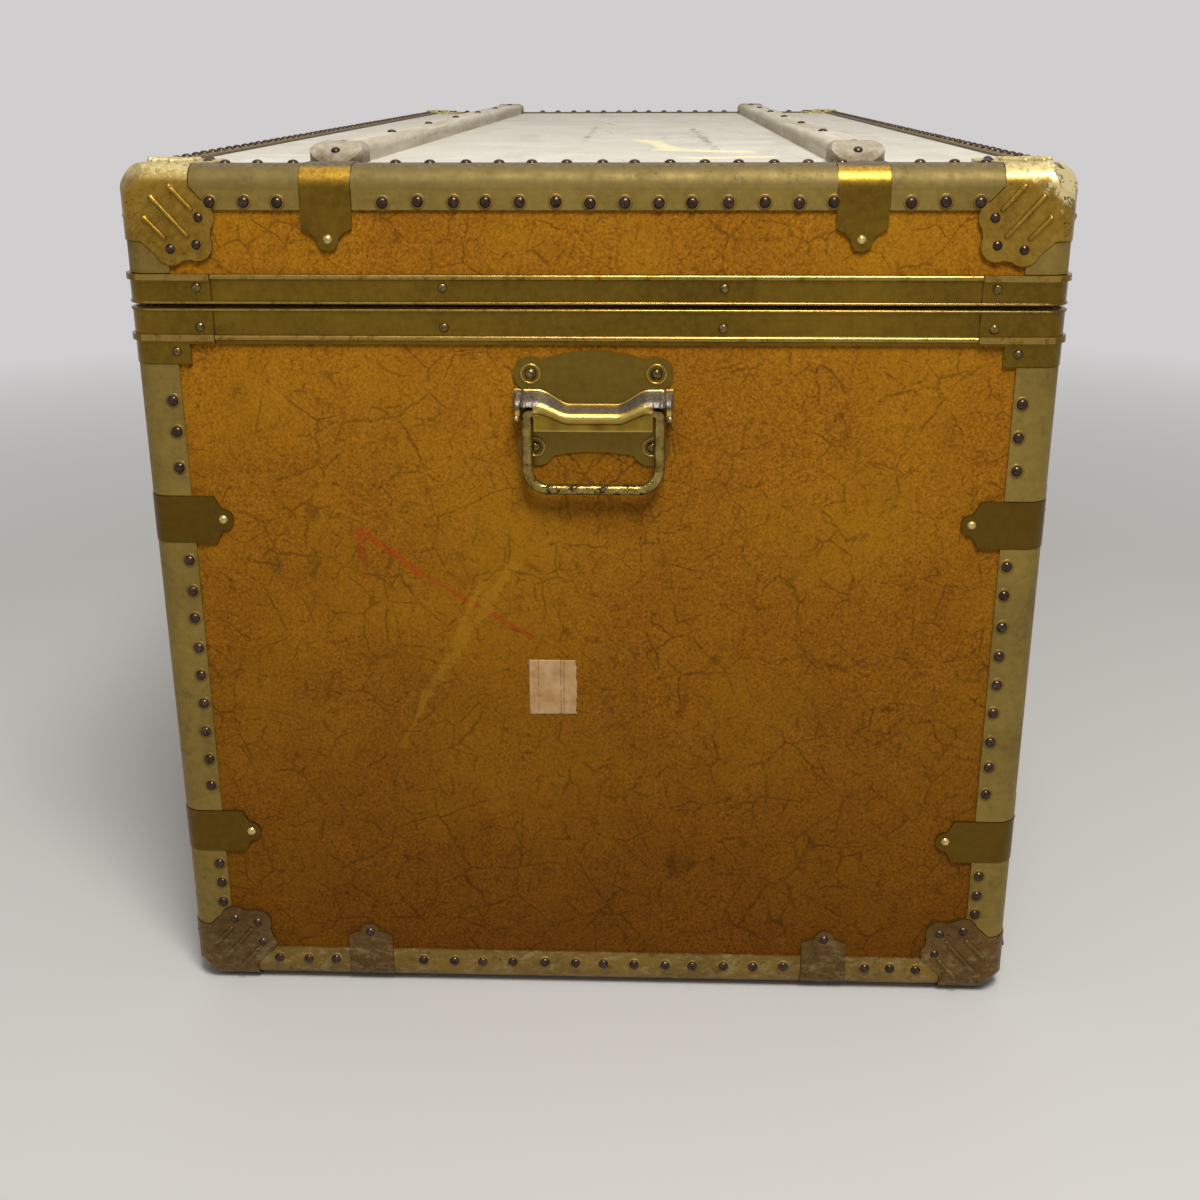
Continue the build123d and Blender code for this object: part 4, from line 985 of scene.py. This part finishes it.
def ear_balls():
    """The rolled lower corners of the ears: small balls, turned from a half circle."""
    turn = np.linspace(-np.pi / 2, np.pi / 2, 13)
    radii = np.cos(turn)
    radii[0] = radii[-1] = 0
    points, faces = lathe(radii, np.sin(turn), 16)
    points = points * (2.6, 2.1, 2.3)
    return joined([(points + (PLATE_X + 8.6, side * 46.3, 405.0), faces) for side in (-1, 1)])


class TRUNK_OT_handle_pressings(bpy.types.Operator):
    """Press the ridge that holds the bail, and ring the rivets of the back plates"""

    bl_idname = "trunk.handle_pressings"
    bl_label = "Handle pressings"

    def execute(self, context):
        sizes = context.scene.trunk_sizes
        ridge, marks = ridge_shape(sizes.swage_proud / MM, sizes.sheet_metal / MM)
        balls = ear_balls()
        whole = joined([ridge, balls])
        extra = len(balls[0])
        low, high = span("right_handle_rivets")
        rivets = [(PLATE_X, y, high[2] - RIVET_R) for y in (low[1] + RIVET_R, high[1] - RIVET_R)]
        rivets += [(PLATE_X, y, low[2] + RIVET_R) for y in (-LOW_RIVET_Y, LOW_RIVET_Y)]
        rings = placed(ring_shape(5.6, 0.95), rivets, (1, 0, 0))
        for word, flip in (("right", False), ("left", True)):
            shape = mirrored(whole) if flip else whole
            piece = make_piece(f"{word}_handle_ridge", shape, "handle_brass", "trunk", "handle_worn")
            # The crest mark is the worn crest; the edge mark is the painted highlight, at half strength on
            # the ear balls
            for name, mark, rest in (("crest", marks[0], 0.55), ("edge", marks[1], 0.5)):
                values = np.concatenate((mark, np.full(extra, rest))).astype(np.float32)
                piece.data.attributes.new(name, "FLOAT", "POINT").data.foreach_set("value", values)
            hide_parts(f"{word}_handle_saddle")
            shape = mirrored(rings) if flip else rings
            make_piece(f"{word}_rivet_rings", shape, "handle_brass", "trunk", "lock_brass")
        return {"FINISHED"}


# Nails along one slat, and how far in from its edge they stand
SLAT_NAILS = 7
SLAT_NAIL_IN = 14.75


class TRUNK_OT_slat_nails(bpy.types.Operator):
    """Nail the slats to the boards"""

    bl_idname = "trunk.slat_nails"
    bl_label = "Slat nails"

    def execute(self, context):
        random = np.random.default_rng(SEED + 5)
        shape = head_shape(3.5, 1.9)
        reach = END_X - 60
        low, high = span("lid_slats")
        places = [points_of(spaced(-reach, reach, SLAT_NAILS, random, 4), y, high[2])
                  for y in (high[1] - SLAT_NAIL_IN, low[1] + SLAT_NAIL_IN)]
        make_piece("lid_slat_nails", placed(shape, np.vstack(places), (0, 0, 1)), "nail_bronze", "lid")
        low, high = span("side_slats")
        shapes = []
        for side in (-1, 1):
            for z in (low[2] + SLAT_NAIL_IN, high[2] - SLAT_NAIL_IN):
                row = points_of(spaced(-reach, reach, SLAT_NAILS, random, 4), side * high[1], z)
                shapes.append(placed(shape, row, (0, side, 0)))
        make_piece("side_slat_nails", joined(shapes), "nail_bronze", "trunk")
        return {"FINISHED"}


class TRUNK_OT_latch_trim(bpy.types.Operator):
    """Rivet the lock, the catches and the hinges, and ring the keyhole"""

    bl_idname = "trunk.latch_trim"
    bl_label = "Latch and hinge trim"

    def execute(self, context):
        shape = head_shape(2.6, 1.3, sides=14)
        hasp_x = [sum(span(name))[0] / 2 for name in ("lock_hasp", "left_catch_hasp", "right_catch_hasp")]
        leaf_face = span("hasp_leaves")[1][1] - 2.2
        leaf = [(x + away, leaf_face, z) for x in hasp_x for away, z in ((-11, 507), (11, 507), (0, 494))]
        make_piece("hasp_leaf_rivets", placed(shape, leaf, (0, -1, 0)), "lock_brass", "lid")
        low, high = span("lock_case")
        corners = [(x, low[1], z) for x in (low[0] + 6, high[0] - 6) for z in (low[2] + 7, high[2] - 7)]
        hole = (0, low[1], sum(span("lock_plug"))[2] / 2)
        rivets, ring = placed(shape, corners, (0, -1, 0)), placed(ring_shape(7.4, 0.9), hole, (0, -1, 0))
        make_piece("lock_case_rivets", joined([rivets, ring]), "lock_brass", "trunk")
        hinge_x = (-380.0, 0.0, 380.0)
        for name, body, node in (("hinge_lid_screws", "lid", "hinge_lid_leaves"),
                                 ("hinge_body_screws", "trunk", "hinge_body_leaves")):
            low, high = span(node)
            face = SKIN_Y + 2.4
            z = low[2] + 10 if body == "trunk" else high[2] - 10
            back = 14 if body == "trunk" else -14
            screws = [(x + away, face, z + rise) for x in hinge_x
                      for away, rise in ((-22, 0), (0, back), (22, 0), (0, 0))]
            make_piece(name, placed(shape, screws, (0, 1, 0)), "lock_brass", body)
        return {"FINISHED"}


# The stay tapes: how far the lid opens, the anchors' distance from the hinge, and half a tape's width
LID_OPEN = math.radians(100)
TAPE_R = 300.0
TAPE_HALF = 12.0


def tape_shape():
    """A stay tape that is straight when the lid is open, folded back to where it lies with the lid shut.

    With the lid open the tape is a straight band between its anchors. Each of its points has a distance r
    and an angle a about the hinge. Its angle p with the lid shut solves p + open * s(r sin p) = a, where s
    is the smooth step from the lower anchor's height to the upper one's, found by halving an interval.
    """
    drop = (TAPE_HIGH[2] - TAPE_LOW[2]) / 2
    anchor = math.asin(drop / TAPE_R)
    ends = [TAPE_R * np.array((math.cos(a), math.sin(a))) for a in (-anchor, anchor + LID_OPEN)]
    length = np.linalg.norm(ends[1] - ends[0])
    run = (ends[1] - ends[0]) / length
    side = np.array((-run[1], run[0]))
    along = np.linspace(-10, length + 10, 160)[:, None, None]
    across = np.linspace(-TAPE_HALF, TAPE_HALF, 7)[None, :, None]
    flat = ends[0] + along * run + across * side
    reach, angle = np.linalg.norm(flat, axis=-1), np.arctan2(flat[..., 1], flat[..., 0])
    low, high = np.full(angle.shape, -np.pi / 2), np.full(angle.shape, np.pi / 2)
    for _ in range(50):
        middle = (low + high) / 2
        turned = middle + LID_OPEN * smooth_step((reach * np.sin(middle) + drop) / (2 * drop))
        low, high = np.where(turned < angle, middle, low), np.where(turned < angle, high, middle)
    rest = (low + high) / 2
    y, z = HINGE_AXIS[1] - reach * np.cos(rest), HINGE_AXIS[2] + reach * np.sin(rest)
    outer = np.stack((np.full(y.shape, TAPE_HIGH[0]), y, z), -1)
    inner = np.stack((np.full(y.shape, TAPE_LOW[0]), y, z), -1)
    return thick_sheet(outer, inner), (HINGE_AXIS[1] - ends[0][0], HINGE_AXIS[2] + ends[0][1], drop)


class TRUNK_OT_stay_tapes(bpy.types.Operator):
    """Hang the two stay tapes and rivet their ends"""

    bl_idname = "trunk.stay_tapes"
    bl_label = "Stay tapes"

    def execute(self, context):
        shape, (anchor_y, anchor_z, drop) = tape_shape()
        washers = {"trunk": [], "lid": []}
        for word, side in (("right", 1), ("left", -1)):
            tape = make_piece(f"{word}_tape", shape if side > 0 else mirrored(shape), "tape_cotton")
            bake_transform(tape)
            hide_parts(f"{word}_stay_tape")
            face = side * TAPE_LOW[0]
            head = head_shape(4.5, 1.6, sides=16)
            washers["trunk"].append(placed(head, (face, anchor_y, anchor_z - 2), (-side, 0, 0)))
            washers["lid"].append(placed(head, (face, anchor_y, anchor_z + 2 * drop + 2), (-side, 0, 0)))
        for body, shapes in washers.items():
            make_piece(f"{body}_tape_rivets", joined(shapes), "lock_brass", body)
        return {"FINISHED"}


class TRUNK_OT_pull_tabs(bpy.types.Operator):
    """Sew the leather pull tabs to the tray"""

    bl_idname = "trunk.pull_tabs"
    bl_label = "Tray pull tabs"

    def execute(self, context):
        half = (TAB_HIGH[1] - TAB_LOW[1]) / 2
        z = np.linspace(TAB_LOW[2], TAB_HIGH[2], 40)[:, None]
        round_top = np.sqrt(np.clip(1 - np.clip((z - TAB_HIGH[2] + half) / half, 0, 0.995) ** 2, 0, 1))
        across = np.linspace(-1, 1, 21)[None, :]
        y = half * round_top * across
        outer = TAB_HIGH[0]
        thick = 2.2
        swell = 0.5 * np.cos(np.pi / 2 * across) * np.ones_like(z)
        back = np.stack((np.full(y.shape, outer), y, z * np.ones_like(y)), -1)
        front = np.stack((outer - thick + 0.5 - swell, y, z * np.ones_like(y)), -1)
        tab = thick_sheet(front, back)
        stitch = placed(head_shape(0.9, 0.45, sides=8, rings=2), [
            (outer - thick + 0.2, side * (half - 3), height) for side in (-1, 1)
            for height in np.arange(TAB_LOW[2] + 4, TAB_HIGH[2] - half, 4.5)], (-1, 0, 0))
        piece = make_piece("tray_pull_tabs", joined([tab, mirrored(tab)]), "tab_leather", "tray")
        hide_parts("tray_tabs")
        make_piece("tray_tab_stitches", joined([stitch, mirrored(stitch)]), "tape_cotton", "tray")
        return {"FINISHED"}


class TRUNK_OT_label(bpy.types.Operator):
    """Paste the blank paper label on the end"""

    bl_idname = "trunk.label"
    bl_label = "Paper label"

    def execute(self, context):
        random = np.random.default_rng(SEED + 9)
        rows, columns = 40, 34
        y = np.linspace(LABEL_LOW[1], LABEL_HIGH[1], columns)[None, :] * np.ones((rows, 1))
        z = np.linspace(LABEL_LOW[2], LABEL_HIGH[2], rows)[:, None] * np.ones((1, columns))
        torn_side = np.cumsum(random.uniform(-0.5, 0.5, rows))
        torn_foot = np.cumsum(random.uniform(-0.45, 0.45, columns))
        toward_side = np.linspace(0, 1, columns)[None, :] ** 6
        toward_foot = np.linspace(1, 0, rows)[:, None] ** 6
        y = y - toward_side * np.abs(torn_side)[:, None]
        z = z + toward_foot * np.abs(torn_foot)[None, :]
        lift = 0.12 + 0.35 * toward_side * toward_foot + 0.08 * np.sin(y * 0.9) * np.sin(z * 0.7)
        front = np.stack((SKIN_X + 0.2 + lift, y, z), -1)
        back = np.stack((np.full(y.shape, SKIN_X - 0.2), y, z), -1)
        piece = make_piece("end_label", thick_sheet(front, back), "label_paper", "trunk")
        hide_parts("paper_label")
        return {"FINISHED"}


# The photo's camera: focal length and frame in pixels, then angles in degrees and place in millimetres
FOCAL_PX = 1494.2
FRAME_PX = 1200
PITCH, YAW, ROLL = 19.477, -2.220, 0.173
CAMERA_MM = (1498.8, 38.2, 602.6)


def camera_turn():
    """The camera's axes: it looks along -X, turned by its yaw, pitch and roll."""
    pitch, yaw, roll = (math.radians(angle) for angle in (PITCH, YAW, ROLL))
    level = math.cos(pitch)
    ahead = np.array((-math.cos(yaw) * level, math.sin(yaw) * level, -math.sin(pitch)))
    right = np.array((math.sin(yaw), math.cos(yaw), 0))
    down = np.cross(ahead, right)
    tilted = math.cos(roll) * right + math.sin(roll) * down
    down = math.cos(roll) * down - math.sin(roll) * right
    return Matrix(np.stack((tilted, -down, -ahead), 1).tolist()).to_4x4()


def soft_light(name, place, target, size, power):
    """A square soft box at place that faces target."""
    data = bpy.data.lights.new(name, "AREA")
    data.shape, data.size, data.energy = "SQUARE", size, power
    light = bpy.data.objects.new(name, data)
    bpy.context.scene.collection.objects.link(light)
    ahead = np.array(target, float) - np.array(place)
    light.matrix_world = Matrix.Translation(place) @ look_along(ahead)
    light.visible_camera = False
    return light


def look_along(ahead):
    """A turn that points -Z along ahead."""
    back = -ahead / np.linalg.norm(ahead)
    right = np.cross((0, 0, 1), back) if abs(back[2]) < 0.999 else np.array((0.0, 1.0, 0.0))
    right = right / np.linalg.norm(right)
    return Matrix(np.stack((right, np.cross(back, right), back), 1).tolist()).to_4x4()


# Where the floor starts to fade into the backdrop, where it has faded, and how far it goes, in metres
FLOOR_NEAR = 0.9
FLOOR_FAR = 2.4
FLOOR_REACH = 30.0
# The backdrop as the camera sees it, and as it lights the trunk
BACKDROP = "#d0cece"
FILL = "#e8e9ea"


def seen_directly(tree):
    """1 for rays that see a thing itself, through glass or in a mirror; 0 for rays that only light it."""
    rays = add(tree, "LightPath").outputs
    seen = rays["Is Camera Ray"]
    for kind in ("Is Transmission Ray", "Is Glossy Ray"):
        seen = add(tree, "Math", {0: seen, 1: rays[kind]}, operation="MAXIMUM").outputs[0]
    return seen


class TRUNK_OT_stage(bpy.types.Operator):
    """Set up the floor, the pale backdrop, the soft boxes and the camera"""

    bl_idname = "trunk.stage"
    bl_label = "Studio"

    def execute(self, context):
        scene = context.scene
        scene.view_settings.view_transform = "Standard"
        world = bpy.data.worlds.new("Pale studio")
        world.use_nodes = True
        tree = world.node_tree
        shown = add(tree, "Background", {"Color": BACKDROP, "Strength": 1.0})
        fill = add(tree, "Background", {"Color": FILL, "Strength": 0.43})
        both = add(tree, "MixShader", {0: seen_directly(tree), 1: fill.outputs[0], 2: shown.outputs[0]})
        tree.links.new(both.outputs[0], tree.nodes["World Output"].inputs[0])
        scene.world = world

        floor = Finish("Matt studio floor")
        floor.set(base_color="#c4c1bc", roughness=0.9, specular_ior_level=0.1)
        middle = {0: floor.place, 1: (0.2, 0.0, 0.0)}
        away = add(floor.tree, "VectorMath", middle, operation="DISTANCE").outputs[1]
        faded = floor.times(floor.ramp(away, FLOOR_NEAR, FLOOR_FAR), seen_directly(floor.tree))
        glow = add(floor.tree, "Emission", {"Color": BACKDROP, "Strength": 1.0})
        mixed = add(floor.tree, "MixShader", {0: faded, 1: floor.shader.outputs[0], 2: glow.outputs[0]})
        floor.tree.links.new(mixed.outputs[0], floor.tree.nodes["Material Output"].inputs[0])
        mesh = bpy.data.meshes.new("floor")
        corners = [(x * FLOOR_REACH, y * FLOOR_REACH, 0) for x, y in ((-1, -1), (1, -1), (1, 1), (-1, 1))]
        mesh.from_pydata(corners, [], [(0, 1, 2, 3)])
        mesh.materials.append(floor.material)
        ground = bpy.data.objects.new("floor", mesh)
        scene.collection.objects.link(ground)

        soft_light("key", (1.6, 0.3, 2.1), (0.5, 0, 0.3), 0.7, 48)
        soft_light("overhead", (-0.5, 0.0, 2.8), (-0.2, 0, 0.3), 2.4, 13)
        data = bpy.data.cameras.new("camera")
        data.sensor_width = 36
        data.lens = FOCAL_PX / FRAME_PX * data.sensor_width
        data.clip_end = 100
        camera = bpy.data.objects.new("camera", data)
        camera.matrix_world = Matrix.Translation(metres(*CAMERA_MM)) @ camera_turn()
        scene.collection.objects.link(camera)
        scene.camera = camera
        return {"FINISHED"}


STEPS = (TRUNK_OT_stage, TRUNK_OT_finishes, TRUNK_OT_edging_tacks, TRUNK_OT_band_hems,
         TRUNK_OT_band_rivets, TRUNK_OT_cap_ribs, TRUNK_OT_handle_pressings, TRUNK_OT_slat_nails,
         TRUNK_OT_latch_trim, TRUNK_OT_stay_tapes, TRUNK_OT_pull_tabs, TRUNK_OT_label)


class TRUNK_PT_panel(bpy.types.Panel):
    """The trunk's sizes, colours and building steps"""

    bl_idname = "TRUNK_PT_panel"
    bl_label = "Steamer trunk"
    bl_space_type = "VIEW_3D"
    bl_region_type = "UI"
    bl_category = "Trunk"

    def draw(self, context):
        for group in (context.scene.trunk_sizes, context.scene.trunk_colours):
            for name in group.__annotations__:
                self.layout.prop(group, name)
        for step in STEPS:
            self.layout.operator(step.bl_idname)


CLASSES = (TrunkSizes, TrunkColours, *STEPS, TRUNK_PT_panel)


def register():
    """Registers the classes and hangs the two property groups on the scene."""
    for one in CLASSES:
        bpy.utils.register_class(one)
    bpy.types.Scene.trunk_sizes = PointerProperty(type=TrunkSizes)
    bpy.types.Scene.trunk_colours = PointerProperty(type=TrunkColours)


def unregister():
    """Takes the property groups and the classes away again."""
    del bpy.types.Scene.trunk_colours
    del bpy.types.Scene.trunk_sizes
    for one in reversed(CLASSES):
        bpy.utils.unregister_class(one)


def main():
    """Builds everything in order."""
    register()
    for step in STEPS:
        group, name = step.bl_idname.split(".")
        getattr(getattr(bpy.ops, group), name)()


if __name__ == "__main__":
    main()
